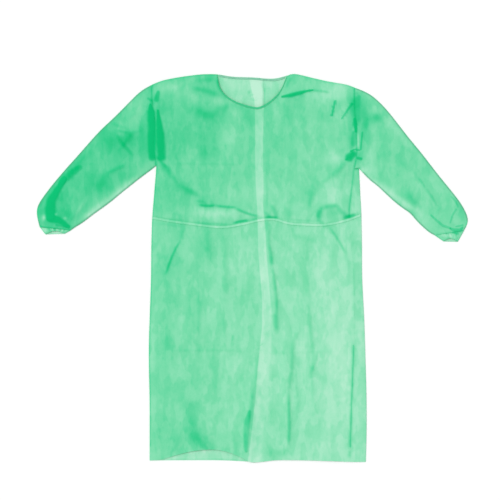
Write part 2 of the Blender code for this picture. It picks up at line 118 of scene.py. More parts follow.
def give(piece, name, values):
    """Stores a number for each point of the mesh, for the material to read."""
    held = piece.data.attributes.new(name, "FLOAT", "POINT")
    held.data.foreach_set("value", np.asarray(values, np.float32))


# %% Making the mesh finer
LONG_EDGE = 0.02
FACES_UP = 0.5


def halve_long_edges(piece):
    """Cuts the top skin's edges that run up and down the gown in two where they are long."""
    only(piece)
    mesh = piece.data
    top = {v for face in mesh.polygons if face.normal.z > FACES_UP for v in face.vertices}
    for edge in mesh.edges:
        start, end = (mesh.vertices[v].co for v in edge.vertices)
        is_long = abs(end.y - start.y) > max(LONG_EDGE, abs(end.x - start.x))
        edge.select = is_long and top.issuperset(edge.vertices)
    bpy.ops.object.mode_set(mode="EDIT")
    bpy.ops.mesh.subdivide(number_cuts=1)
    bpy.ops.object.mode_set(mode="OBJECT")


def triangles_in(piece):
    """How many triangles a mesh's faces come to."""
    return sum(len(face.vertices) - 2 for face in piece.data.polygons)


def refined(piece, levels):
    """Rounds the piece with a Subdivision Surface, applied, and smooths its shading."""
    only(piece)
    bpy.ops.object.modifier_add(type="SUBSURF")
    surface = piece.modifiers[-1]
    surface.levels = surface.render_levels = levels
    bpy.ops.object.modifier_apply(modifier=surface.name)
    bpy.ops.object.shade_smooth_by_angle(angle=SHARP)
    print(f"{piece.name}: {len(piece.data.vertices)} points, {triangles_in(piece)} triangles")
    return piece


# %% [markdown]
# ## The shells
# The front is the largest piece and carries the finest creases. Its rows lie further
# apart than its columns, so the long edges between them are cut in two first, on its
# top skin alone, and two rounds of subdivision then leave faces of about 4 mm. The
# backs, the sleeves and the cuffs take three rounds, and the narrow tapes two.

# %% Laying the shells
front = copied("front_panel", "front")
halve_long_edges(front)
refined(front, 2)
back_left = refined(copied("back_panel_left", "back_left"), 3)
back_right = refined(copied("back_panel_right", "back_right"), 3)
sleeve_left = refined(copied("sleeve_left", "left_sleeve"), 3)
sleeve_right = refined(copied("sleeve_right", "right_sleeve"), 3)
cuff_left = refined(copied("cuff_band_left", "left_cuff"), 3)
cuff_right = refined(copied("cuff_band_right", "right_cuff"), 3)
neck_front = refined(copied("neck_binding_front", "neck_tape_front"), 2)
neck_back_left = refined(copied("neck_binding_back_left", "neck_tape_back_left"), 2)
neck_back_right = refined(copied("neck_binding_back_right", "neck_tape_back_right"), 2)
tie = refined(copied("waist_tie_front", "tie_across_front"), 2)
tie_end_left = refined(copied("waist_tail_left", "tie_end_left"), 2)
tie_end_right = refined(copied("waist_tail_right", "tie_end_right"), 2)

# %% [markdown]
# ## Creases
# The cloth is stiff and thin, so it doesn't drape: it buckles into short soft ridges
# and sharp little lines, and it keeps the folds of its packing. A cloth simulation
# would put such lines anywhere, so they are listed, each as a line with a bow,
# a height, a width and how much deeper the green is along it. Sizes are in
# millimetres: x to the right, y up to the neck. A bow bends the line to its left.
# A row whose height is 0 only makes the cloth deeper, or paler if its tone is below 0.

# %% The creases of the front
Crease = namedtuple("Crease", "x1 y1 x2 y2 bow height width tone")


def table(kind, *rows):
    """Gives the numbers of each row the names of their columns."""
    return [kind(*row) for row in rows]


FRONT_CREASES = table(
    Crease,
    # shoulders and neck
    (173, 533, 236, 526, 2, 1, 4, 0.18),
    (-184, 542, -91, 517, 2, 1, 7, 0.14),
    (-166, 563, -112, 566, 0, 0.6, 7, 0.13),
    (-106, 566, -85, 530, -2, 0.7, 6, 0.21),
    (119, 572, 101, 539, -2, 0.7, 6, 0.16),
    # left chest
    (-172, 479, -106, 461, -6, 0.9, 13, 0.17),
    (-112, 464, -67, 488, 3, 0.7, 10, 0.12),
    (-154, 419, -145, 335, 3, 0.8, 15, 0.12),
    (-118, 437, -112, 347, -3, 0.6, 11, 0.06),
    (-202, 467, -208, 335, 3, 0.7, 12, 0.06),
    (-16, 479, -13, 431, 0, 0.6, 9, 0.12),
    (-238, 443, -232, 293, 4, 0.5, 10, 0.04),
    # packing folds
    (-265, 313, -4, 310, 2, 0.5, 4, 0.04),
    (-265, -247, -4, -248, 2, 0.6, 4, 0.05),
    (20, -253, 272, -248, -1, 0.4, 4, 0.03),
    # right chest
    (104, 491, 119, 413, -2, 0.7, 13, 0.08),
    (80, 395, 110, 299, 2, 0.6, 12, 0.04),
    (152, 467, 164, 323, 2, 0.6, 12, 0.05),
    (212, 491, 206, 431, 0, 0.5, 9, 0.05),
    (236, 449, 245, 359, -2, 0.5, 9, 0.04),
    (200, 287, 164, 185, 3, 0.9, 11, 0.12),
    (41, 323, 45, 167, 1, 0.5, 4, 0.12),
    # armpits
    (-280, 320, -220, 251, 4, 1.4, 8, 0.18),
    (-226, 251, -151, 209, 3, 1.2, 8, 0.16),
    (-208, 233, -172, 224, 0, 0.6, 12, 0.13),
    (284, 323, 236, 275, 3, 1.3, 8, 0.16),
    (236, 278, 206, 254, 2, 0.8, 6, 0.08),
    (284, 305, 260, 191, -4, 0.8, 6, 0.07),
    # beside the armholes
    (-291, 341, -250, 299, -2, 0.8, 4, 0.18),
    (296, 401, 299, 353, 0, 0.8, 8, 0.21),
    # blousing over the waist tie
    (-166, 203, -136, 193, 2, 1, 5, 0.18),
    (-160, 191, -109, 189, -3, 1.6, 4, 0.39),
    (-112, 188, -46, 182, -1, 1.5, 4, 0.32),
    (-52, 182, 26, 155, -4, 1.3, 4, 0.29),
    (-256, 185, -196, 149, -4, 0.8, 10, 0.08),
    (-184, 167, -34, 161, 3, 1, 11, -0.07),
    (56, 191, 74, 155, 2, 1.1, 7, 0.16),
    (95, 185, 116, 155, 2, 0.8, 7, 0.08),
    (38, 167, 56, 152, 1, 0.9, 5, 0.16),
    # above the tie: shallow grooves whose deeper green is painted shadow cast by the tie
    (-289, 147, -184, 141, 1, -0.5, 4, 0.08),
    (-184, 139, -58, 131, -2, -0.5, 4, 0.16),
    (-58, 134, -7, 143, 2, -0.9, 4, 0.49),
    (-7, 144, 38, 152, 1, -0.5, 4, 0.16),
    (38, 153, 80, 152, 0, -0.8, 4, 0.39),
    (80, 149, 224, 140, -2, -0.4, 4, 0.07),
    (272, 149, 314, 161, 1, -0.8, 5, 0.44),
    # below the tie
    (-286, 135, -202, 124, 2, 0.8, 6, 0.07),
    (-136, 125, -130, 17, 2, 1, 10, 0.16),
    (-88, 119, -82, -97, 4, 0.7, 8, 0.07),
    # where the tie's ends show through
    (254, 188, 302, 148, -5, 0.9, 7, 0.23),
    (209, 181, 257, 187, 2, 0.9, 7, 0.26),
    (207, 176, 199, 149, -3, 0.9, 8, 0.36),
    (200, 146, 230, 127, -4, 0.5, 5, 0.13),
    (230, 125, 284, 38, 3, 0.6, 4, 0.22),
    (-205, 116, -211, 89, -2, 0.6, 5, 0.13),
    (-211, 89, -259, -25, -5, 0.9, 4, 0.34),
    # skirt, the long creases
    (44, 146, 50, 65, 2, 1.2, 6, 0.18),
    (49, 77, 59, 5, 2, 1.7, 6, 0.29),
    (59, 17, 74, -151, 4, 1.3, 5, 0.18),
    (71, -133, 74, -190, 0, 1.2, 6, 0.17),
    (121, -205, 108, -373, 4, 1.2, 6, 0.14),
    (109, -361, 110, -544, 2, 1.8, 5, 0.29),
    (170, -103, 185, -253, -3, 1.2, 7, 0.16),
    (185, -247, 176, -325, 2, 0.8, 6, 0.13),
    (197, -247, 178, -313, 2, 0.9, 5, 0.12),
    (179, -313, 188, -427, -2, 0.8, 5, 0.08),
    (20, -193, 8, -361, 2, 1, 5, 0.12),
    (2, -361, -10, -469, 2, 1.4, 6, 0.17),
    (146, -163, 125, -223, 2, 0.8, 5, 0.05),
    (128, -301, 137, -457, 2, 0.7, 6, 0.05),
    # skirt, soft streaks
    (-259, 71, -250, -187, 5, 0.7, 12, 0.04),
    (-256, -199, -250, -247, 0, 0.8, 13, 0.13),
    (-184, -61, -190, -229, 3, 0.8, 10, 0.05),
    (-160, -73, -163, -199, 2, 0.8, 8, 0.12),
    (-232, -73, -226, -157, 0, 0.4, 9, 0.04),
    (-88, -145, -79, -241, 2, 0.8, 7, 0.07),
    (-58, -277, -76, -373, -3, 0.7, 7, 0.05),
    (-34, -313, -16, -391, 2, 0.8, 8, 0.08),
    (-112, -253, -106, -385, 2, 0.5, 10, 0.04),
    (-202, -385, -166, -487, -5, 1, 14, 0.13),
    (-178, -481, -136, -544, -3, 1.6, 15, 0.2),
    (-226, -493, -238, -553, 2, 0.8, 15, 0.12),
    (-136, -499, -112, -544, -2, 0.9, 10, 0.12),
    (-280, -469, -286, -553, 0, 0.6, 8, 0.05),
    (104, 83, 116, -97, 3, 0.7, 10, 0.05),
    (152, 107, 164, -1, 2, 0.7, 10, 0.06),
    (155, -1, 173, -103, 2, 0.8, 8, 0.07),
    (212, -217, 206, -313, 2, 0.5, 7, 0.04),
    (248, 83, 239, -13, 2, 0.5, 8, 0.05),
    (284, 53, 293, -73, 0, 0.5, 6, 0.04),
    (137, 95, 206, 74, 2, 0.5, 9, 0.06),
    (38, -553, 116, -553, 0, 0.5, 13, 0.13),
    (-58, -505, -46, -553, 2, 0.6, 7, 0.05),
    # side seam
    (306, 17, 306, -205, 0, 0.5, 5, 0.07),
    (302, -217, 299, -409, 1, 0.6, 5, 0.12),
    (298, -409, 292, -547, 0, 0.6, 5, 0.17),
    (293, -547, 293, -565, 0, 0.4, 4, 0.21),
)

# %% [markdown]
# Beside the armholes, on the right shoulder, at the cuffs and at the hem the cloth is
# tucked double. A tuck shows as a patch of deep green with a definite edge, so each is
# a line of points with half its width at each point, and it is drawn with a flat top
# and steep sides.

# %% The tucks
Tuck = namedtuple("Tuck", "line height tone")
TUCKS = table(
    Tuck,
    # left armhole, on the sleeve and on the front
    (
        [(-304, 491, 2.4), (-302, 467, 10.8), (-300, 431, 13.2), (-299, 377, 13.2), (-299, 332, 10.2)],
        1.4,
        0.44,
    ),
    (
        [(-282, 473, 3), (-278, 437, 7.8), (-274, 401, 11.4), (-272, 365, 13.2), (-271, 335, 13.2)],
        1.2,
        0.54,
    ),
    ([(-281, 527, 5.4), (-286, 506, 7.8)], 0.6, 0.34),
    ([(-311, 509, 3.6), (-302, 503, 3.6)], 0.4, 0.18),
    # right armhole
    ([(320, 512, 7.8), (313, 500, 13.8), (311, 476, 15.6), (314, 449, 13.2)], 0.8, 0.22),
    ([(308, 447, 3.6), (310, 431, 5.7), (312, 410, 3)], 1, 0.66),
    ([(307, 404, 8.4), (305, 374, 9)], 0.6, 0.24),
    ([(283, 326, 3.6), (292, 332, 12.6), (303, 342, 10.2)], 1.4, 0.62),
    ([(296, 351, 2.1), (308, 356, 2.4), (322, 354, 1.8)], 0.8, 0.4),
    ([(317, 330, 3.9), (327, 328, 4.5)], 0.8, 0.36),
    ([(331, 407, 2.4), (326, 356, 2.7)], 0.8, 0.26),
    # right shoulder, first its long pleat
    ([(91, 514, 3), (116, 518, 6), (143, 525, 6), (164, 531, 3.3), (182, 534, 2.1)], 1.6, 0.54),
    ([(249, 501, 3), (240, 458, 3)], 1, 0.42),
    ([(299, 492, 4.5), (287, 475, 3.6), (270, 449, 2.7)], 1, 0.3),
    # left cuff
    ([(-517, 302, 8.4), (-544, 284, 11.4), (-568, 260, 10.2)], 1.2, 0.25),
    (
        [(-562, 267, 7.2), (-587, 227, 10.8), (-600, 203, 13.8), (-605, 179, 15.6), (-604, 155, 13.8)],
        2,
        0.47,
    ),
    ([(-602, 149, 10.8), (-580, 144, 10.8), (-563, 135, 7.8), (-550, 125, 5.4)], 1.2, 0.4),
    ([(-586, 130, 3), (-556, 125, 3.6)], 0.8, 0.18),
    # right cuff and the sleeve above it
    ([(595, 119, 2.7), (608, 114, 6.6), (623, 114, 6), (631, 122, 3)], 1.2, 0.3),
    ([(611, 125, 2.1), (632, 129, 2.7)], 0.8, 0.2),
    ([(601, 107, 2.1), (617, 104, 3.9)], 0.8, 0.24),
    ([(537, 159, 2.4), (554, 143, 3.3), (572, 128, 3.9), (593, 121, 3.3)], 1, 0.2),
    ([(599, 213, 2.4), (610, 201, 3), (617, 185, 2.4)], 0.8, 0.16),
    ([(612, 177, 2.4), (601, 159, 3), (594, 137, 2.4)], 0.8, 0.16),
    # hem, beside the pale strip
    ([(-7, -427, 3), (-14, -457, 8.4), (-17, -499, 9), (-17, -547, 4.8)], 1.8, 0.26),
    # hem, a wide soft wedge on the left
    ([(-190, -487, 12), (-160, -517, 15), (-136, -540, 6)], 1, 0.08),
)

# %% The creases of the sleeves and cuffs
SLEEVE_CREASES = table(
    Crease,
    # left sleeve
    (-298, 515, -307, 473, 2, 0.8, 7, 0.18),
    (-442, 374, -337, 395, 5, 1, 18, 0.13),
    (-391, 356, -358, 404, 2, 1.5, 8, 0.17),
    (-409, 407, -352, 335, -4, 1.4, 5, 0.17),
    (-433, 283, -376, 310, 2, 1.4, 7, 0.18),
    (-460, 245, -436, 275, 0, 0.8, 15, 0.12),
    (-502, 227, -478, 269, -3, 0.8, 12, 0.05),
    (-556, 263, -478, 362, 3, 0.8, 11, 0.18),
    (-565, 173, -544, 155, 2, 0.8, 9, 0.08),
    (-526, 185, -544, 143, 2, 1.2, 6, 0.08),
    (-502, 209, -526, 161, 2, 1, 6, -0.07),
    (-370, 449, -343, 467, 2, 0.8, 8, 0.04),
    (-421, 437, -376, 419, -2, 0.8, 6, 0.13),
    (-334, 443, -328, 347, 2, 0.7, 10, 0.08),
    (-310, 299, -544, 119, 3, 0, 12, -0.34),
    (-406, 413, -370, 404, 1, 0.6, 5, 0.16),
    (-370, 404, -328, 414, -1, 0.6, 5, 0.08),
    (-484, 365, -556, 281, 1, 0, 8, -0.08),
    # right sleeve
    (332, 284, 518, 158, -3, 0, 10, -0.2),
    (356, 497, 530, 299, 2, 0, 8, -0.06),
    (318, 407, 319, 359, 0, 0, 3, -0.21),
    (296, 521, 320, 524, 2, 1, 6, 0.16),
    (341, 437, 350, 365, 3, 0.8, 7, 0.06),
    (434, 353, 458, 287, 3, 0.7, 10, 0.04),
    (380, 419, 404, 317, 4, 0.7, 12, 0.04),
    (496, 272, 519, 239, 2, 1, 4, 0.14),
    (518, 242, 554, 185, 2, 1.2, 4, 0.14),
    (470, 221, 488, 188, 2, 1.2, 12, 0.16),
    (614, 215, 626, 161, 3, 0.8, 10, 0.12),
    (554, 155, 566, 185, 2, 0.9, 5, 0.07),
    (422, 281, 470, 245, 3, 0.7, 8, 0.04),
)
CUFF_CREASES = table(
    Crease,
    # left cuff
    (-613, 126, -604, 110, 0, 0.7, 3, 0.16),
    (-595, 128, -590, 110, 0, 0.8, 3, 0.18),
    (-574, 128, -575, 110, 0, 0.8, 3, 0.16),
    (-559, 128, -565, 110, 0, 0.7, 3, 0.13),
    (-602, 125, -595, 110, 0, -0.5, 3, -0.18),
    (-584, 125, -583, 110, 0, -0.5, 3, -0.16),
    (-566, 125, -570, 110, 0, -0.5, 3, -0.16),
    (-571, 115, -544, 119, 0, 0, 6, -0.18),
    (-634, 119, -613, 113, 0, 0, 6, -0.13),
    # right cuff
    (566, 101, 620, 89, 0, 0, 9, -0.08),
    (557, 104, 596, 93, 3, 0.8, 6, -0.18),
    (578, 113, 590, 89, 0, 0.7, 4, 0.13),
    (611, 107, 614, 86, 0, 0.8, 3, 0.16),
    (590, 110, 599, 89, 0, -0.5, 3, -0.13),
)

# %% [markdown]
# Nobody sees the back of a gown that lies on it, but the part can be turned over, so
# the underside has creases of the same kind. It rests on the floor, so they are
# grooves that go up into the cloth's thickness.

# %% The creases of the underside
UNDER_CREASES = table(
    Crease,
    (-250, 470, -236, 150, 9, 0.5, 11, 0.06),
    (-190, 520, -204, 300, -6, 0.45, 9, 0.05),
    (-130, 430, -104, 120, 10, 0.5, 13, 0.06),
    (-60, 500, -48, 260, -5, 0.4, 10, 0.05),
    (90, 470, 104, 210, 8, 0.5, 12, 0.06),
    (170, 520, 150, 330, -6, 0.45, 10, 0.05),
    (240, 440, 226, 120, 7, 0.5, 12, 0.06),
    (-300, 300, -210, 190, 10, 0.6, 9, 0.1),
    (310, 300, 214, 206, -9, 0.6, 9, 0.1),
    (-280, 150, -40, 138, -8, 0.6, 6, 0.12),
    (-40, 140, 150, 128, 5, 0.55, 6, 0.1),
    (150, 130, 312, 156, -7, 0.6, 6, 0.12),
    (-270, 100, -256, -190, 8, 0.5, 13, 0.05),
    (-205, 60, -214, -300, -9, 0.55, 12, 0.06),
    (-150, -20, -138, -400, 9, 0.5, 14, 0.06),
    (-92, 96, -100, -170, -6, 0.5, 10, 0.06),
    (-70, -220, -52, -540, 8, 0.6, 12, 0.08),
    (-20, 60, -6, -260, 6, 0.5, 11, 0.06),
    (70, 90, 92, -160, -7, 0.6, 10, 0.08),
    (92, -150, 84, -500, 6, 0.6, 11, 0.09),
    (150, 40, 166, -330, 10, 0.5, 13, 0.06),
    (214, 80, 206, -240, -8, 0.5, 12, 0.05),
    (250, -120, 262, -480, 7, 0.5, 12, 0.05),
    (180, -330, 168, -560, -5, 0.5, 10, 0.06),
    (-240, -300, -196, -540, 9, 0.6, 13, 0.09),
    (-290, -248, 320, -252, 4, 0.5, 5, 0.05),
    (-280, 312, 280, 309, 3, 0.4, 5, 0.04),
    (-330, 470, -350, 330, 5, 0.55, 9, 0.1),
    (-470, 380, -370, 300, -6, 0.55, 9, 0.08),
    (-540, 300, -450, 250, 5, 0.55, 9, 0.08),
    (-618, 200, -560, 160, -4, 0.55, 8, 0.1),
    (330, 500, 350, 360, -5, 0.55, 9, 0.1),
    (380, 400, 470, 300, 7, 0.55, 9, 0.08),
    (470, 250, 560, 210, -5, 0.55, 9, 0.08),
    (548, 190, 604, 140, 4, 0.55, 8, 0.1),
)

# %% [markdown]
# Besides its creases the cloth has places where it is deeper or paler as a whole,
# where layers cling together or part. Those are soft patches with no height, each
# with its middle and how far it reaches across and up. The flap is where the right
# back panel is wrapped round the side. In the neck both back panels show, with a few
# creases of their own.

# %% Deeper and paler patches
Patch = namedtuple("Patch", "x y across up tone")
FRONT_PATCHES = table(
    Patch,
    # shoulders
    (-256, 542, 39, 18, -0.15),
    (-133, 530, 36, 15, 0.08),
    (-106, 503, 54, 12, -0.1),
    (224, 515, 72, 24, -0.12),
    (260, 542, 27, 15, -0.1),
    (302, 491, 18, 36, 0.08),
    (302, 491, 15, 42, 0.1),
    (-142, 467, 39, 27, 0.07),
    (-178, 518, 60, 24, -0.11),
    (-94, 494, 27, 12, -0.08),
    (-226, 557, 66, 18, -0.04),
    (131, 512, 45, 24, 0.08),
    (266, 497, 27, 18, 0.15),
    (176, 461, 30, 36, 0.04),
    (296, 500, 12, 24, 0.06),
    (-46, 464, 24, 21, -0.08),
    (-202, 527, 24, 15, -0.05),
    (-139, 449, 36, 18, 0.05),
    (119, 473, 21, 36, 0.07),
    (-259, 482, 21, 18, 0.08),
    (-214, 551, 54, 24, -0.04),
    # chest
    (-70, 383, 24, 72, -0.11),
    (-136, 353, 24, 36, 0.05),
    (-214, 401, 36, 66, 0.03),
    (248, 329, 21, 18, -0.22),
    (251, 227, 27, 42, -0.14),
    (20, 227, 30, 72, -0.05),
    (-244, 245, 30, 42, 0.03),
    (302, 419, 18, 33, 0.14),
    (212, 332, 36, 24, -0.05),
    (-142, 305, 36, 24, -0.06),
    (-70, 263, 24, 42, -0.06),
    (32, 317, 24, 24, -0.05),
    (-238, 269, 18, 24, -0.07),
    (-124, 299, 198, 78, -0.04),
    (284, 383, 18, 42, 0.08),
    (221, 389, 24, 18, 0.06),
    # above the waist tie
    (176, 209, 18, 42, 0.08),
    (-34, 215, 42, 24, -0.09),
    (-106, 161, 78, 12, -0.08),
    (-160, 176, 30, 12, -0.08),
    (146, 179, 36, 18, -0.06),
    (-256, 209, 27, 48, 0.06),
    (-226, 200, 24, 15, 0.07),
    (-136, 191, 42, 24, 0.07),
    (23, 194, 12, 42, 0.06),
    (101, 161, 24, 18, 0.09),
    (149, 215, 12, 30, 0.07),
    (245, 167, 30, 21, 0.16),
    (299, 188, 9, 48, 0.09),
    (-184, 191, 78, 18, 0.06),
    (284, 200, 21, 18, 0.09),
    # skirt, its upper half
    (-34, 47, 27, 78, -0.05),
    (-64, 5, 36, 36, -0.07),
    (-127, -130, 18, 42, -0.08),
    (-211, -175, 15, 66, -0.08),
    (-136, 83, 18, 36, 0.08),
    (-256, 5, 15, 30, 0.05),
    (224, -97, 30, 90, -0.03),
    (32, -97, 18, 180, -0.02),
    (110, 101, 15, 30, 0.09),
    (302, 89, 12, 54, 0.08),
    (-178, 83, 42, 42, -0.05),
    (-229, 35, 21, 24, -0.04),
    (-97, 65, 15, 36, 0.05),
    (-16, 29, 24, 60, -0.04),
    (48, -13, 10, 24, 0.07),
    (266, -13, 27, 42, -0.08),
    (206, 8, 12, 36, 0.05),
    (173, -106, 27, 21, 0.07),
    (284, -163, 21, 36, -0.08),
    (48, -196, 15, 27, 0.09),
    (-121, -211, 18, 18, -0.06),
    (116, 137, 156, 60, 0.06),
    (-247, -67, 18, 24, -0.05),
    (-289, -142, 12, 42, -0.04),
    (101, -175, 15, 36, -0.04),
    # skirt, its lower half
    (-166, -508, 45, 30, 0.06),
    (152, -229, 15, 39, -0.1),
    (248, -277, 27, 132, -0.05),
    (224, -457, 21, 90, -0.07),
    (275, -247, 15, 102, -0.05),
    (-178, -283, 30, 30, 0.04),
    (-220, -373, 48, 66, 0.03),
    (-55, -247, 30, 72, -0.03),
    (-70, -433, 24, 54, -0.05),
    (-154, -277, 15, 27, -0.06),
    (-256, -283, 18, 30, 0.07),
    (95, -292, 12, 24, 0.06),
    (206, -298, 18, 24, -0.06),
    (182, -361, 15, 24, 0.09),
    (179, -436, 15, 18, 0.07),
    (83, -391, 15, 54, -0.07),
    (-190, -430, 15, 27, -0.08),
    (-64, -361, 15, 42, -0.05),
    (-121, -364, 18, 18, -0.05),
    (32, -427, 12, 36, 0.08),
    (14, -508, 21, 30, 0.1),
    (-82, -502, 21, 24, 0.06),
    (-130, -451, 15, 21, 0.04),
    (-241, -490, 27, 21, 0.05),
    (290, -484, 27, 30, -0.08),
    (-298, -247, 9, 270, -0.08),
    (-106, -301, 102, 102, -0.04),
    (11, -451, 27, 78, 0.05),
    (266, -373, 36, 42, -0.05),
    (284, -268, 24, 18, -0.07),
    (-7, -334, 12, 21, 0.07),
    (35, -433, 11, 36, 0.06),
    (-256, -421, 21, 30, -0.05),
    (209, -295, 18, 24, -0.04),
)
FLAP_PATCHES = table(
    Patch,
    (326, -481, 15, 78, -0.09),
    (329, -322, 12, 90, -0.04),
    (305, 89, 12, 54, 0.08),
)
SLEEVE_PATCHES = table(
    Patch,
    # left sleeve
    (-343, 485, 39, 57, -0.21),
    (-298, 512, 12, 30, -0.06),
    (-418, 371, 48, 27, 0.05),
    (-454, 299, 27, 21, -0.09),
    (-496, 179, 30, 27, -0.15),
    (-457, 203, 27, 21, -0.14),
    (-400, 245, 30, 24, -0.06),
    (-352, 317, 30, 21, -0.07),
    (-310, 305, 24, 18, -0.14),
    (-532, 179, 18, 24, -0.05),
    (-623, 152, 6, 9, -0.42),
    (-588, 162, 7, 4, -0.26),
    (-560, 150, 6, 4, -0.2),
    (-451, 347, 18, 30, -0.07),
    (-535, 227, 12, 21, -0.09),
    (-358, 377, 21, 24, 0.06),
    (-445, 245, 21, 15, 0.08),
    (-388, 431, 33, 24, -0.15),
    (-379, 365, 12, 24, -0.08),
    (-496, 347, 18, 24, -0.08),
    (-298, 467, 18, 27, 0.08),
    (-298, 359, 15, 30, 0.1),
    (-634, 170, 12, 15, 0.14),
    (-574, 155, 15, 12, 0.12),
    (-568, 212, 18, 27, 0.08),
    (-340, 389, 21, 30, -0.06),
    (-340, 293, 30, 9, -0.08),
    (-418, 215, 24, 15, -0.08),
    (-598, 164, 24, 18, 0.14),
    (-385, 413, 24, 21, -0.07),
    # right sleeve
    (317, 491, 24, 39, 0.2),
    (339, 449, 12, 42, 0.28),
    (374, 452, 19, 13, 0.32),
    (322, 329, 12, 18, 0.16),
    (329, 377, 12, 42, 0.08),
    (353, 347, 18, 33, -0.08),
    (341, 299, 24, 18, -0.13),
    (410, 239, 24, 18, -0.1),
    (452, 185, 18, 15, -0.12),
    (509, 149, 18, 21, -0.09),
    (614, 179, 15, 36, 0.06),
    (458, 323, 66, 102, 0.03),
    (506, 233, 48, 42, 0.03),
    (497, 260, 36, 27, -0.08),
    (302, 419, 18, 33, 0.14),
    (365, 437, 24, 15, 0.1),
    (332, 383, 21, 48, 0.09),
    (332, 290, 27, 12, -0.14),
    (422, 401, 15, 36, -0.04),
    (635, 152, 9, 18, 0.08),
    (314, 527, 18, 12, -0.08),
)
NECK_CREASES = table(
    Crease,
    (-12, 536, 8, 518, -2, 0, 4, 0.16),
    (8, 520, 9, 488, 0, 0, 4, 0.16),
    (41, 542, 44, 496, 0, 0, 4, 0.16),
)
BACK_PATCHES = table(
    Patch,
    (-70, 548, 34, 20, -0.02),
    (-104, 560, 12, 26, 0.14),
    (-62, 526, 26, 18, 0.06),
    (80, 520, 26, 40, 0.08),
    (-12, 536, 16, 30, 0.04),
    (-135, -548, 62, 9, -0.05),
)

# %% [markdown]
# ## How strong a crease is at a point
# A row of a table works like the stroke of a soft brush, seen from above. It is 1 on
# its line, and fades to the sides in a bell curve and to its ends over a quarter of
# its length. A tuck keeps its strength over its width and falls off at its edge. All
# the points of a mesh are worked out at once with NumPy, because a loop over them in
# Python would take minutes.

# %% Strokes, tucks and patches
ENDS = 0.25
TUCK_STEEPNESS = 4
FAR = 9


def eased(share):
    """A soft step from 0 to 1."""
    share = np.clip(share, 0, 1)
    return share * share * (3 - 2 * share)


def stroke(plan, row):
    """1 along a crease's line, fading to its sides and its ends."""
    start = np.array((row.x1, row.y1), float)
    run = np.array((row.x2, row.y2), float) - start
    length = np.linalg.norm(run)
    run /= length
    along = (plan - start) @ run
    share = np.clip(along / length, 0, 1)
    aside = (plan - start) @ np.array((-run[1], run[0])) - 4 * row.bow * share * (1 - share)
    away = np.hypot(aside, along - share * length) / row.width
    near_end = np.minimum(share, 1 - share) * length + row.width
    return np.exp(-away * away) * eased(near_end / (ENDS * length + row.width))


def fold(plan, row):
    """1 inside a tuck, falling to 0 across its edge."""
    away = np.full(len(plan), np.inf)
    for (x1, y1, wide1), (x2, y2, wide2) in zip(row.line, row.line[1:]):
        start, run = np.array((x1, y1), float), np.array((x2 - x1, y2 - y1), float)
        share = np.clip((plan - start) @ run / (run @ run), 0, 1)
        gap = np.linalg.norm(plan - start - share[:, None] * run, axis=1)
        away = np.minimum(away, gap / (wide1 + (wide2 - wide1) * share))
    return np.exp(-np.minimum(away, FAR) ** TUCK_STEEPNESS)


def creased(plan, rows, tucks=()):
    """The height and the depth of green that creases and tucks add at each point."""
    height, tone = np.zeros(len(plan)), np.zeros(len(plan))
    shapes = [(row, stroke(plan, row)) for row in rows] + [(row, fold(plan, row)) for row in tucks]
    for row, shape in shapes:
        height += row.height * shape
        tone += row.tone * shape
    return height, tone


def patched(plan, rows):
    """The depth of green that a table of patches adds at each point."""
    tone = np.zeros(len(plan))
    for row in rows:
        across, up = (plan[:, 0] - row.x) / row.across, (plan[:, 1] - row.y) / row.up
        tone += row.tone * np.exp(-across * across - up * up)
    return tone


# %% [markdown]
# Between the creases that can be told apart, the cloth has many small ones that run
# mostly down its length, as it came off the roll. They are drawn from a seeded row
# of chances, so that every run lays the same ones.

# %% Small wrinkles
WRINKLE_LENGTH = 22, 80
WRINKLE_HEIGHT = 0.15, 0.5
WRINKLE_WIDTH = 4, 10
WRINKLE_LEAN, WRINKLE_BOW = 0.28, 2.5
WRINKLE_TONE = 0.07
BODY_BOX = -300, 300, -575, 545
LEFT_BOX = -640, -290, 110, 530
RIGHT_BOX = 300, 640, 90, 520


def small_wrinkles(seed, count, box):
    """Short low creases, mostly upright, scattered over a box of x and y."""
    chance = np.random.default_rng(seed)
    rows = []
    for _ in range(count):
        x, y = chance.uniform(*box[:2]), chance.uniform(*box[2:])
        length, lean = chance.uniform(*WRINKLE_LENGTH), chance.normal(0, WRINKLE_LEAN)
        height = chance.uniform(*WRINKLE_HEIGHT) * chance.choice((-1, 1))
        width, bow = chance.uniform(*WRINKLE_WIDTH), chance.normal(0, WRINKLE_BOW)
        dx, dy = length * math.sin(lean), length * math.cos(lean)
        tone = WRINKLE_TONE * abs(height)
        rows.append(Crease(x, y, x + dx, y + dy, bow, height, width, tone))
    return rows


WRINKLES = small_wrinkles(seed=11, count=230, box=BODY_BOX)
LEFT_WRINKLES = small_wrinkles(seed=12, count=70, box=LEFT_BOX)
RIGHT_WRINKLES = small_wrinkles(seed=13, count=70, box=RIGHT_BOX)
UNDER_WRINKLES = small_wrinkles(seed=14, count=150, box=BODY_BOX)
BY_HAND = FRONT_CREASES + SLEEVE_CREASES + CUFF_CREASES + NECK_CREASES + UNDER_CREASES
print(f"laid by hand: {len(BY_HAND)} creases and {len(TUCKS)} tucks")

# %% [markdown]
# ## Finer faces where the eye needs them
# A crease a few millimetres wide is lost on faces of 4 mm. Finer faces everywhere
# would make the pieces too heavy, so only some faces of the top skins are cut again:
# those under a tuck or a narrow crease, and those of the back panels that show in the
# neck and below the hem.

# %% Choosing and cutting the faces
NARROW = 9
NEAR = 0.12
NECK_FROM, NECK_REACH = 460, 125
ARC_BELOW = -538
FADE_FROM, FADE_OVER = 1.3, 2.4


def face_centres(piece):
    """The middles of a mesh's faces, in millimetres."""
    return rows_of(piece.data.polygons, "center") / MM


def along_creases(centres, rows):
    """Which faces of an upper layer lie under a tuck or a narrow crease."""
    near = sum(fold(centres[:, :2], row) for row in TUCKS) > NEAR
    for row in rows:
        if row.width <= NARROW:
            near |= stroke(centres[:, :2], row) > NEAR
    return near & (centres[:, 2] > FADE_FROM)


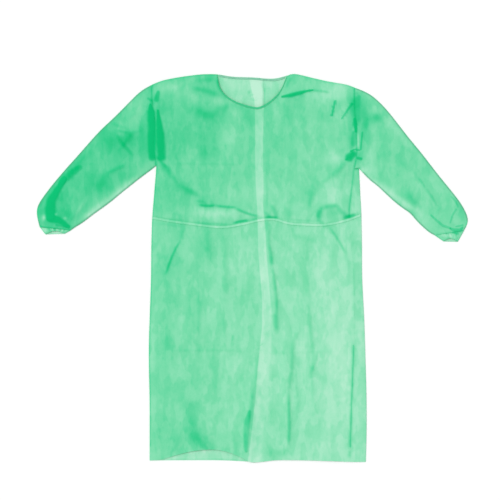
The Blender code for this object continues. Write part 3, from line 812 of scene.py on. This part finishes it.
def in_the_open(centres):
    """Which faces of a back panel show in the neck or below the front's hem."""
    in_neck = (centres[:, 1] > NECK_FROM) & (np.abs(centres[:, 0]) < NECK_REACH)
    return in_neck | ((centres[:, 1] < ARC_BELOW) & (centres[:, 0] < 0))


def make_finer(piece, near, cuts):
    """Cuts the chosen faces of the top skin finer."""
    faces = piece.data.polygons
    near &= np.array([face.normal.z > 0 for face in faces])
    only(piece)
    bpy.ops.object.mode_set(mode="EDIT")
    bpy.ops.mesh.select_mode(type="FACE")
    bpy.ops.mesh.select_all(action="DESELECT")
    bpy.ops.object.mode_set(mode="OBJECT")
    faces.foreach_set("select", near)
    bpy.ops.object.mode_set(mode="EDIT")
    bpy.ops.mesh.subdivide(number_cuts=cuts)
    bpy.ops.object.mode_set(mode="OBJECT")
    print(f"{piece.name}: {near.sum()} faces cut finer, {triangles_in(piece)} triangles")


for piece, rows in (
    (front, FRONT_CREASES),
    (sleeve_left, SLEEVE_CREASES),
    (sleeve_right, SLEEVE_CREASES),
):
    make_finer(piece, along_creases(face_centres(piece), rows), cuts=1)
for piece, cuts in ((back_left, 3), (back_right, 2)):
    make_finer(piece, in_the_open(face_centres(piece)), cuts)

# %% [markdown]
# ## Creasing the shells
# A crease lifts the cloth more, the higher it lies, and the cloth on the floor not at
# all: the lower layer stays where it rests, and a fold's edge stays on its line. Only
# the skin that faces the floor gets the grooves of the underside.

# %% Lifting and grooving
SKIN = 0.35
GROOVE = 0.6


def relief(piece, rows, tucks=()):
    """Lifts the upper layer along its creases and grooves the skin on the floor."""
    points = points_of(piece)
    height, _ = creased(points[:, :2], rows, tucks)
    free = np.clip((points[:, 2] - FADE_FROM) / FADE_OVER, 0, 1)
    groove, _ = creased(points[:, :2], UNDER_CREASES + UNDER_WRINKLES)
    groove = np.clip(groove, 0, GROOVE) * (points[:, 2] < SKIN)
    lift = height * free
    points[:, 2] += lift + groove
    move_points(piece, points)
    lowest, highest = points[:, 2].min(), points[:, 2].max()
    print(f"{piece.name}: raised by up to {lift.max():.1f} mm, z {lowest:.2f} to {highest:.2f} mm")


relief(front, FRONT_CREASES + WRINKLES, TUCKS)
relief(back_left, [])
relief(back_right, FRONT_CREASES + WRINKLES, TUCKS)
relief(sleeve_left, SLEEVE_CREASES + FRONT_CREASES + LEFT_WRINKLES, TUCKS)
relief(sleeve_right, SLEEVE_CREASES + FRONT_CREASES + RIGHT_WRINKLES, TUCKS)
relief(cuff_left, CUFF_CREASES + SLEEVE_CREASES, TUCKS)
relief(cuff_right, CUFF_CREASES + SLEEVE_CREASES, TUCKS)

# %% [markdown]
# ## Seams and tapes
# The solids stay a little apart at their seams, because they may not touch. Sewn cloth
# touches, so each shell's cut edge is drawn up to the piece beside it until only a hair
# is left. Under the right armpit the sleeve turns a corner and stands further off, so
# there its edge is drawn in from further away. The tie across the front and the front's
# neck tape lie on the cloth. They were fitted to the solids, and the creased shells now
# lie a little higher or lower, so each point of a tape moves by the difference between
# the two, which is looked up straight below it.

# %% A piece's cut edge
SEAM_REACH, SEAM_SHARE = 0.7, 0.8
ARMPIT_REACH, ARMPIT_TOP = 3, 303


def select_cut_edges(piece):
    """Leaves a piece's sharp edges selected."""
    only(piece)
    bpy.ops.object.mode_set(mode="EDIT")
    bpy.ops.mesh.select_mode(type="EDGE")
    bpy.ops.mesh.select_all(action="DESELECT")
    bpy.ops.mesh.edges_select_sharp(sharpness=SHARP)
    bpy.ops.object.mode_set(mode="OBJECT")


def sharp_points(piece):
    """The numbers of the points on a piece's cut edges."""
    select_cut_edges(piece)
    return sorted({v for edge in piece.data.edges if edge.select for v in edge.vertices})


# %% Closing the seams and laying the tapes
DOWN = Vector((0, 0, -1))
LOOK_FROM = 1


def ground(pieces):
    """A search tree of several meshes, to look down on from above."""
    corners, faces = [], []
    for piece in pieces:
        first = len(corners)
        corners += [vertex.co.copy() for vertex in piece.data.vertices]
        faces += [[first + v for v in face.vertices] for face in piece.data.polygons]
    return BVHTree.FromPolygons(corners, faces)


def height_under(tree, point):
    """Height of the cloth straight below a point, or of the nearest cloth."""
    found = tree.ray_cast(Vector((point[0], point[1], LOOK_FROM)), DOWN)[0]
    return (found or tree.find_nearest(Vector(point))[0]).z


def settle(tape, solids, shells):
    """Moves a tape's points up or down with the cloth that it lies on."""
    before = ground([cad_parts[node] for node in solids])
    after = ground(shells)
    points = points_of(tape) * MM
    shifts = [height_under(after, p) - height_under(before, p) for p in points]
    points[:, 2] += shifts
    move_points(tape, points / MM)
    print(f"{tape.name}: moved by {min(shifts) / MM:.2f} to {max(shifts) / MM:.2f} mm")


def close_seams(piece, beside, reach=SEAM_REACH, below=math.inf):
    """Draws a piece's cut edge, up to a height on the gown, to the piece that it is sewn to."""
    meeting = ground([beside])
    points = points_of(piece)
    moved = 0
    for v in sharp_points(piece):
        if points[v, 1] > below:
            continue
        found = meeting.find_nearest(Vector(points[v] * MM), reach * MM)[0]
        if found:
            points[v] += SEAM_SHARE * (np.array(found) / MM - points[v])
            moved += 1
    move_points(piece, points)
    print(f"{piece.name}: {moved} points of its edge drawn up to {beside.name}")


for piece, beside in (
    (back_right, front),
    (sleeve_left, front),
    (sleeve_left, back_left),
    (sleeve_right, front),
    (sleeve_right, back_right),
    (cuff_left, sleeve_left),
    (cuff_right, sleeve_right),
):
    close_seams(piece, beside)
close_seams(sleeve_right, back_right, ARMPIT_REACH, ARMPIT_TOP)

settle(tie, ("front_panel", "back_panel_right"), (front, back_right))
settle(neck_front, ("front_panel",), (front,))

# %% [markdown]
# ## How deep the green is
# Each point of the cloth gets a number, its cover: 0 where the cloth is palest and 1
# in the deepest folds. It is made of the piece's own cover, a share for each crease
# and patch, and more where the cloth slopes, because more of it then lies in the
# line of sight. The left of the chest and the left sleeve cling to the layer below,
# so they are deeper than the right of the skirt.

# %% The front's own cover
LEFT_COVER, RIGHT_COVER = 0.4, 0.22
CHEST_COVER = 0.14
CHEST_FROM, CHEST_TO = 150, 300
HALF_WIDTH = 300


def front_cover(plan):
    """Deeper on the left and on the chest."""
    across = eased((plan[:, 0] + HALF_WIDTH) / (2 * HALF_WIDTH))
    chest = eased((plan[:, 1] - CHEST_FROM) / (CHEST_TO - CHEST_FROM))
    return LEFT_COVER + (RIGHT_COVER - LEFT_COVER) * across + CHEST_COVER * chest


# %% [markdown]
# Down the middle of the back its two panels only meet, and a paler strip shows there
# through the front, from the neck to the hem. The strip is laid as the signed
# distance from its nearest edge, so that the material can draw a clean line between
# the mesh's points. Lower down, its right edge blurs, and that distance is shortened.

# %% The pale strip
Strip = namedtuple("Strip", "y left right blur", defaults=[1])
PALE_STRIP = table(
    Strip,
    (-576, -12, 30, 7),
    (-518, -4, 36, 7),
    (-398, 10, 50, 6),
    (-300, 17, 54, 5),
    (-248, 23, 58, 4),
    (-180, 30, 62, 3),
    (-98, 31, 56, 1.5),
    (52, 19, 43),
    (112, 18, 41),
    (180, 16, 34),
    (240, 12, 35),
    (352, 9, 33),
    (442, 10, 35),
    (502, 8, 36),
    (532, 0, 36),
    (572, -9, 36),
)


def inside_strip(plan):
    """Distance inside the strip's nearer edge, below 0 outside it."""
    heights, *columns = np.array(PALE_STRIP, float).T
    left, right, blur = (np.interp(plan[:, 1], heights, column) for column in columns)
    return np.minimum(plan[:, 0] - left, (right - plan[:, 0]) / blur)


# %% [markdown]
# Two darker lines follow the pieces' edges: a soft one along the cut edges, where
# cloth is turned in or sewn on, and a thin grey one along the folds that bound a
# sleeve, which is painted shade where the cloth turns under.
# For both, each point gets its distance from the line. A search tree finds the
# nearest part of it quickly.

# %% Distance from a cut edge
def search_tree(places):
    """A tree that finds the nearest of some places."""
    tree = KDTree(len(places))
    for index, place in enumerate(places):
        tree.insert(place, index)
    tree.balance()
    return tree


def sharp_lines(piece):
    """The ends of each short line along a piece's cut edges, in millimetres."""
    select_cut_edges(piece)
    points = points_of(piece)
    lines = np.array([edge.vertices[:] for edge in piece.data.edges if edge.select])
    return points[lines[:, 0]], points[lines[:, 1]]


def from_cut_edge(piece):
    """Each point's distance from the nearest cut edge."""
    starts, ends = sharp_lines(piece)
    middles = search_tree((starts + ends) / 2)
    points = points_of(piece)
    nearest = np.array([middles.find(point)[1] for point in points])
    start, run = starts[nearest], ends[nearest] - starts[nearest]
    length = np.maximum((run * run).sum(axis=1), WELD)
    share = np.clip(((points - start) * run).sum(axis=1) / length, 0, 1)
    return np.linalg.norm(points - start - share[:, None] * run, axis=1)


# %% Storing the numbers
SLOPE_COVER = 0.5
UNDER_COVER = 0.27
FAR_OUTSIDE, FAR_INSIDE = -100, 100
STEEP = 0.3
CLEAR_OF_EDGE = 5


def uprightness(piece):
    """The z of each point's normal: 1 where the cloth faces up, -1 where it faces the floor."""
    return rows_of(piece.data.vertex_normals, "vector")[:, 2]


def from_rim(piece, edge):
    """Each point's distance in plan from the nearest fold that bounds the piece."""
    points = points_of(piece) * (1, 1, 0)
    folds = search_tree(points[(np.abs(uprightness(piece)) < STEEP) & (edge > CLEAR_OF_EDGE)])
    return np.array([folds.find(point)[2] for point in points])


def dress(piece, own, rows, patches, tucks=(), strip=True, rim=False, plain_edge=None):
    """Gives a piece the numbers that its material reads at each point."""
    plan = points_of(piece)[:, :2]
    facing = uprightness(piece)
    top = own + creased(plan, rows, tucks)[1] + patched(plan, patches)
    under = UNDER_COVER + creased(plan, UNDER_CREASES + UNDER_WRINKLES)[1]
    share = eased((facing + 1) / 2)
    slope = 1 - np.abs(facing)
    if plain_edge is not None:
        slope[plain_edge] = 0
    cover = under + (top - under) * share + SLOPE_COVER * slope
    give(piece, "cover", cover)
    give(piece, "strip", np.where(strip & (facing > 0), inside_strip(plan), FAR_OUTSIDE))
    edge = from_cut_edge(piece)
    if plain_edge is not None:
        edge[plain_edge] = FAR_INSIDE
    give(piece, "edge", edge)
    give(piece, "rim", from_rim(piece, edge) if rim else np.full(len(plan), FAR_INSIDE))
    print(f"{piece.name}: cover {cover.min():.2f} to {cover.max():.2f}")


# %% [markdown]
# The front, the right back panel's flap and the tie over them start from one cover,
# so that the green runs on over the side seam. The flap is a little deeper, and the tie
# is paler by a painted highlight along the raised tape. The back panels show their upper
# side in the neck and below the front's hem, where they are one layer of cloth alone.

# %% Cover of each piece
LEFT_SLEEVE_COVER, RIGHT_SLEEVE_COVER = 0.62, 0.38
BACK_COVER = 0.17
CUFF_COVER, MOUTH_COVER = 0.36, 0.1
FLAP_DEEPER, FLAP_FROM = 0.03, 240
LAYER_TOP = 2
# painted highlight: the tie is drawn this much paler than the cloth it lies on
TIE_PAINTED_HIGHLIGHT = 0.17
SEAM_RIGHT_OF, SEAM_FAINT_FROM, SEAM_FAINT_TO = 270, -230, 150


def no_dark_edge(plan):
    """Where a cut edge shows no darker line: the arc of the hem and part of the side seam."""
    faint = (plan[:, 1] > SEAM_FAINT_FROM) & (plan[:, 1] < SEAM_FAINT_TO)
    return (plan[:, 1] < ARC_BELOW) | ((plan[:, 0] > SEAM_RIGHT_OF) & faint)


plan = points_of(front)[:, :2]
dress(
    front,
    front_cover(plan),
    FRONT_CREASES + WRINKLES,
    FRONT_PATCHES,
    TUCKS,
    plain_edge=no_dark_edge(plan),
)
# the tie's cover is lowered by the painted highlight, so that it shows as a light line
plan = points_of(tie)[:, :2]
dress(tie, front_cover(plan) - TIE_PAINTED_HIGHLIGHT, FRONT_CREASES, FRONT_PATCHES)
plan = points_of(back_right)[:, :2]
wrapped = points_of(back_right)[:, 2] > LAYER_TOP
dress(
    back_right,
    np.where(wrapped, front_cover(plan) + FLAP_DEEPER, BACK_COVER),
    [row for row in FRONT_CREASES + WRINKLES if row.x1 > FLAP_FROM] + NECK_CREASES,
    FLAP_PATCHES + BACK_PATCHES,
    plain_edge=no_dark_edge(plan) & wrapped,
)
dress(back_left, BACK_COVER, NECK_CREASES, BACK_PATCHES)
for sleeve, own, wrinkles in (
    (sleeve_left, LEFT_SLEEVE_COVER, LEFT_WRINKLES),
    (sleeve_right, RIGHT_SLEEVE_COVER, RIGHT_WRINKLES),
):
    dress(sleeve, own, SLEEVE_CREASES + wrinkles, SLEEVE_PATCHES, TUCKS, strip=False, rim=True)
for cuff in (cuff_left, cuff_right):
    own = np.where(points_of(cuff)[:, 2] > LAYER_TOP, CUFF_COVER, MOUTH_COVER)
    dress(cuff, own, CUFF_CREASES, [], TUCKS, strip=False)

# %% [markdown]
# ## Writing materials as sums
# A material is a net of nodes. Written node by node it is hard to read, so a small
# class wraps a socket: adding or multiplying two of them adds a Math node, and every
# other node comes from one call.

# %% A socket that can be added and multiplied
class Socket:
    """An output in a material's node tree."""

    def __init__(self, tree, output):
        self.tree, self.output = tree, output

    def math(self, operation, *values):
        settings = {"operation": operation}
        return add_node(self.tree, "ShaderNodeMath", settings, dict(enumerate(values)))

    def __add__(self, other):
        return self.math("ADD", self, other)

    def __sub__(self, other):
        return self.math("SUBTRACT", self, other)

    def __rsub__(self, other):
        return self.math("SUBTRACT", other, self)

    def __mul__(self, other):
        return self.math("MULTIPLY", self, other)

    __radd__, __rmul__ = __add__, __mul__

    def sine(self):
        return self.math("SINE", self)

    def between(self, low, high):
        """0 below low, 1 above high and a soft step between them."""
        settings = {"interpolation_type": "SMOOTHSTEP"}
        values = {"Value": self, "From Min": low, "From Max": high}
        return add_node(self.tree, "ShaderNodeMapRange", settings, values)

    def axis(self, name):
        """One coordinate, X, Y or Z, of a place."""
        return add_node(self.tree, "ShaderNodeSeparateXYZ", None, {"Vector": self}, output=name)


def add_node(tree, kind, settings=None, values=None, output=0):
    """Adds one node: first its settings, then the values or links of its sockets."""
    node = tree.nodes.new(kind)
    for name, setting in (settings or {}).items():
        if name == "stops":
            ramp = node.color_ramp.elements
            while len(ramp) < len(setting):
                ramp.new(1)
            for stop, (place, colour) in zip(ramp, setting):
                stop.position, stop.color = place, (*colour, 1)
        else:
            setattr(node, name, setting)
    for name, value in (values or {}).items():
        if isinstance(value, Socket):
            tree.links.new(value.output, node.inputs[name])
        else:
            node.inputs[name].default_value = value
    return Socket(tree, node.outputs[output])


# %% [markdown]
# ## The finish of the cloth
# Spunbond cloth is matt. Its threads lie at random, thicker here and thinner there,
# which gives it clouds a hand wide, streaks down its length and a fine grain, and it
# is bonded in small dots a millimetre or so apart. Photographed on white, the green
# turns deeper and purer as the cover grows, so the colour comes from a ramp of the
# cover alone. The ramp's greens are chosen as screen colours and divided by the light
# that falls on the cloth, so that they look the same in the render.

# %% Colours from paler to deeper cloth
LIGHT_LEVEL = 1.09


def from_screen(red, green, blue):
    """A screen colour, 0 to 255, as the shader's own light values, by the sRGB curve."""
    shares = [value / 255 for value in (red, green, blue)]
    return tuple(s / 12.92 if s <= 0.04045 else ((s + 0.055) / 1.055) ** 2.4 for s in shares)


def under_light(colour):
    """The colour of a cloth that looks like this screen colour in the scene's light."""
    return tuple(value / LIGHT_LEVEL for value in from_screen(*colour))


GREENS = [
    (0.0, (190, 238, 211)),
    (0.125, (168, 232, 198)),
    (0.25, (144, 226, 184)),
    (0.375, (121, 219, 170)),
    (0.5, (98, 213, 159)),
    (0.625, (75, 207, 148)),
    (0.75, (51, 202, 137)),
    (1.0, (5, 193, 117)),
]
STOPS = [(place, under_light(colour)) for place, colour in GREENS]

# %% [markdown]
# Four noises vary the cover, from clouds to grain. Two more are cut off sharply about
# their middle value and make puffs: places with a definite outline where the cloth
# stands off the layer below and is paler. The dots are the product of two waves that
# cross, and the threads between them are the finest noise of all. Both are too small
# to be shapes, so they only bend the light, as a bump.

# %% Noise, and what every matt cloth shares
Noise = namedtuple("Noise", "scale stretch detail seed strength", defaults=[1])
NOISE_ROUGHNESS = 0.55
GLOSS = 0.1


def noise(tree, place, kind):
    """A soft random value about 0, of so many turns a metre, stretched along y."""
    seeded = (kind.seed, kind.seed, kind.seed)
    values = {"Vector": place, "Location": seeded, "Scale": (1, 1 / kind.stretch, 1)}
    place = add_node(tree, "ShaderNodeMapping", {"vector_type": "POINT"}, values)
    values = {
        "Vector": place,
        "Scale": kind.scale,
        "Detail": kind.detail,
        "Roughness": NOISE_ROUGHNESS,
    }
    return add_node(tree, "ShaderNodeTexNoise", {"noise_dimensions": "3D"}, values) - 0.5


def new_material(name):
    """A new material, its nodes, and the place on the piece that its patterns follow."""
    material = bpy.data.materials.new(name)
    material.use_nodes = True
    tree = material.node_tree
    return material, tree, add_node(tree, "ShaderNodeTexCoord", output="Object")


def make_matt(material, colour, height, strength, distance, roughness):
    """Gives a material's shader its colour, its bump and its low gloss."""
    tree = material.node_tree
    values = {"Strength": strength, "Distance": distance, "Height": height}
    bump = add_node(tree, "ShaderNodeBump", None, values)
    shader = tree.nodes["Principled BSDF"]
    tree.links.new(colour.output, shader.inputs["Base Color"])
    tree.links.new(bump.output, shader.inputs["Normal"])
    shader.inputs["Roughness"].default_value = roughness
    shader.inputs["Specular IOR Level"].default_value = GLOSS
    print(f"{material.name}: {len(tree.nodes)} nodes")
    return material


# %% The cloth's material, its distances in millimetres
VARIATION = table(
    Noise,
    # clouds, streaks, mottle and grain
    (16, 1.6, 2, 3.1, 0.22),
    (42, 5, 3, 7.7, 0.16),
    (90, 1.2, 3, 1.3, 0.09),
    (420, 1, 2, 5.9, 0.09),
)
PUFFS = table(Noise, (32, 2.2, 2, 9.4, 0.075), (62, 1.7, 1, 4.2, 0.025))
PUFF_EDGE = 0.05
STRIP_EDGE, STRIP_PALER = 2, 0.18
SEAM_DEEP_TO, SEAM_CLEAR_FROM, SEAM_DEEPER = 2.5, 6.5, 0.07
# painted shade: a grey line drawn along the folds that bound a sleeve
RIM_FULL_TO, RIM_CLEAR_FROM, RIM_SHADE_SHARE = 1.5, 5, 0.55
RIM_SHADE_COLOUR = (*from_screen(84, 160, 124), 1)
DOT_PITCH = 1.3
DOT_FROM, DOT_TO, DOT_DEPTH = 0.2, 0.9, 0.6
THREADS = Noise(1800, 1, 3, 2.2)
CLOTH_BUMP, CLOTH_RELIEF = 0.25, 0.00015
CLOTH_ROUGHNESS = 0.9


def cloth_colour(tree, place):
    """The green that a point's cover gives, with the cloth's own variation and painted shade along the
    folds that bound a sleeve.
    """
    cover, strip, edge, rim = (
        add_node(tree, "ShaderNodeAttribute", {"attribute_name": held}, output="Fac")
        for held in ("cover", "strip", "edge", "rim")
    )
    depth = cover - strip.between(-STRIP_EDGE, STRIP_EDGE) * STRIP_PALER
    depth = depth + (1 - edge.between(SEAM_DEEP_TO, SEAM_CLEAR_FROM)) * SEAM_DEEPER
    for kind in VARIATION:
        depth = depth + noise(tree, place, kind) * kind.strength
    for kind in PUFFS:
        puff = noise(tree, place, kind).between(-PUFF_EDGE, PUFF_EDGE) - 0.5
        depth = depth - puff * kind.strength
    green = add_node(tree, "ShaderNodeValToRGB", {"stops": STOPS}, {"Fac": depth})
    # painted shade along the folds that bound a sleeve
    outline = (1 - rim.between(RIM_FULL_TO, RIM_CLEAR_FROM)) * RIM_SHADE_SHARE
    values = {"Fac": outline, "Color1": green, "Color2": RIM_SHADE_COLOUR}
    return add_node(tree, "ShaderNodeMixRGB", None, values)


def dots_and_threads(tree, place):
    """The height of the bonded dots, which are pressed in, and of the threads."""
    half_turns = math.pi / (DOT_PITCH * MM)
    across, up = place.axis("X"), place.axis("Y")
    dots = ((across + up) * half_turns).sine() * ((across - up) * half_turns).sine()
    return noise(tree, place, THREADS) - dots.between(DOT_FROM, DOT_TO) * DOT_DEPTH


def cloth_material(name):
    """Green spunbond cloth, as deep as each point's cover says."""
    material, tree, place = new_material(name)
    colour, height = cloth_colour(tree, place), dots_and_threads(tree, place)
    return make_matt(material, colour, height, CLOTH_BUMP, CLOTH_RELIEF, CLOTH_ROUGHNESS)


spunbond = cloth_material("spunbond_cloth")
for piece in (front, back_left, back_right, sleeve_left, sleeve_right, tie):
    piece.data.materials.append(spunbond)

# %% [markdown]
# The cuffs are the same cloth, gathered on elastic thread. Their pleats are in the
# mesh, so they take the same finish, as a material of their own. The neck's tapes and
# the tie's free ends are strips of a denser cloth with a fine rib: deep green on the
# front's neck, and paler where they lie inside. The tie itself takes the cloth's
# material above, so that it follows the greens that it lies on.

# %% Cuffs and tapes
TAPE_MOTTLE = Noise(140, 1, 3, 4.4, 1.6)
TAPE_THREADS = Noise(1500, 1, 2, 6.1)
RIB_PITCH, RIB_DEPTH = 1.1, 0.5
TAPE_BUMP, TAPE_RELIEF = 0.3, 0.0002


def tape_material(name, deep, pale, roughness):
    """A narrow tape: a fine rib and a soft mottle between two greens."""
    material, tree, place = new_material(name)
    mottle = noise(tree, place, TAPE_MOTTLE) * TAPE_MOTTLE.strength + 0.5
    stops = [(0, under_light(deep)), (1, under_light(pale))]
    colour = add_node(tree, "ShaderNodeValToRGB", {"stops": stops}, {"Fac": mottle})
    rib = (place.axis("X") * (2 * math.pi / (RIB_PITCH * MM))).sine()
    height = rib * RIB_DEPTH + noise(tree, place, TAPE_THREADS)
    return make_matt(material, colour, height, TAPE_BUMP, TAPE_RELIEF, roughness)


gathered = cloth_material("gathered_cuff_cloth")
neck_tape = tape_material("neck_tape_cloth", (40, 190, 126), (84, 204, 150), 0.75)
back_tape = tape_material("back_neck_tape_cloth", (112, 190, 154), (148, 210, 180), 0.75)
tie_tape = tape_material("tie_tape_cloth", (132, 222, 180), (160, 232, 196), 0.72)
for piece, material in (
    (cuff_left, gathered),
    (cuff_right, gathered),
    (neck_front, neck_tape),
    (neck_back_left, back_tape),
    (neck_back_right, back_tape),
    (tie_end_left, tie_tape),
    (tie_end_right, tie_tape),
):
    piece.data.materials.append(material)

# %% [markdown]
# ## The pieces on the gown's body
# Each shell stands for its node of the frame, which is hidden, and rides on the gown's one body.

# %% What each piece stands for
STANDS_FOR = [
    (front, "front_panel", "spunbond"),
    (back_left, "back_panel_left", "spunbond"),
    (back_right, "back_panel_right", "spunbond"),
    (sleeve_left, "sleeve_left", "spunbond"),
    (sleeve_right, "sleeve_right", "spunbond"),
    (cuff_left, "cuff_band_left", "elastic"),
    (cuff_right, "cuff_band_right", "elastic"),
    (neck_front, "neck_binding_front", "binding"),
    (neck_back_left, "neck_binding_back_left", "binding"),
    (neck_back_right, "neck_binding_back_right", "binding"),
    (tie, "waist_tie_front", "binding"),
    (tie_end_left, "waist_tail_left", "binding"),
    (tie_end_right, "waist_tail_right", "binding"),
]
for piece, node, finish in STANDS_FOR:
    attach(piece, "root")
    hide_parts(node)

# %% [markdown]
# ## Floor, light and camera
# The gown was photographed from straight above on white. A white floor takes the
# place of the background. Most of the light comes evenly from all round, so the
# green keeps the depth that its cover gives it, and one wide sun lamp from the upper
# left lets the creases cast their small shades. The camera looks straight down from
# far enough that nothing is drawn out at the edges.

# %% Floor
FLOOR_SIZE, FLOOR_BELOW = 40, 0.0004
FLOOR_LOOK = {
    "Base Color": (0.93, 0.93, 0.93, 1),
    "Roughness": 0.9,
    "Specular IOR Level": 0,
}
bpy.ops.mesh.primitive_plane_add(size=FLOOR_SIZE, location=(0, 0, -FLOOR_BELOW))
floor = bpy.context.active_object
floor.name = "floor"
white = bpy.data.materials.new("white_floor")
white.use_nodes = True
for name, value in FLOOR_LOOK.items():
    white.node_tree.nodes["Principled BSDF"].inputs[name].default_value = value
floor.data.materials.append(white)

# %% Light
FROM_ALL_ROUND = 0.74
LAMP = (-1.1, 0.9, 2.6)
LAMP_WIDE, LAMP_STRENGTH = math.radians(30), 1.35
world = bpy.data.worlds.new("studio")
world.use_nodes = True
world.node_tree.nodes["Background"].inputs["Color"].default_value = (1, 1, 1, 1)
world.node_tree.nodes["Background"].inputs["Strength"].default_value = FROM_ALL_ROUND
bpy.context.scene.world = world

bpy.ops.object.light_add(type="SUN", location=LAMP)
lamp = bpy.context.active_object
lamp.name = "soft_lamp"
lamp.data.angle = LAMP_WIDE
lamp.data.energy = LAMP_STRENGTH
lamp.rotation_euler = (-Vector(LAMP)).to_track_quat("-Z", "Y").to_euler()

# %% Camera
OVER = (-0.0056, 0.0547)
HEIGHT = 5.0
FIELD = 1.5
SENSOR = 36
bpy.ops.object.camera_add(location=(*OVER, HEIGHT), rotation=(0, 0, 0))
camera = bpy.context.active_object
camera.data.sensor_width = SENSOR
camera.data.lens = SENSOR * HEIGHT / FIELD
bpy.context.scene.camera = camera
bpy.context.scene.view_settings.view_transform = "Standard"
print(f"camera: {FIELD} m of the floor, from {HEIGHT} m above")
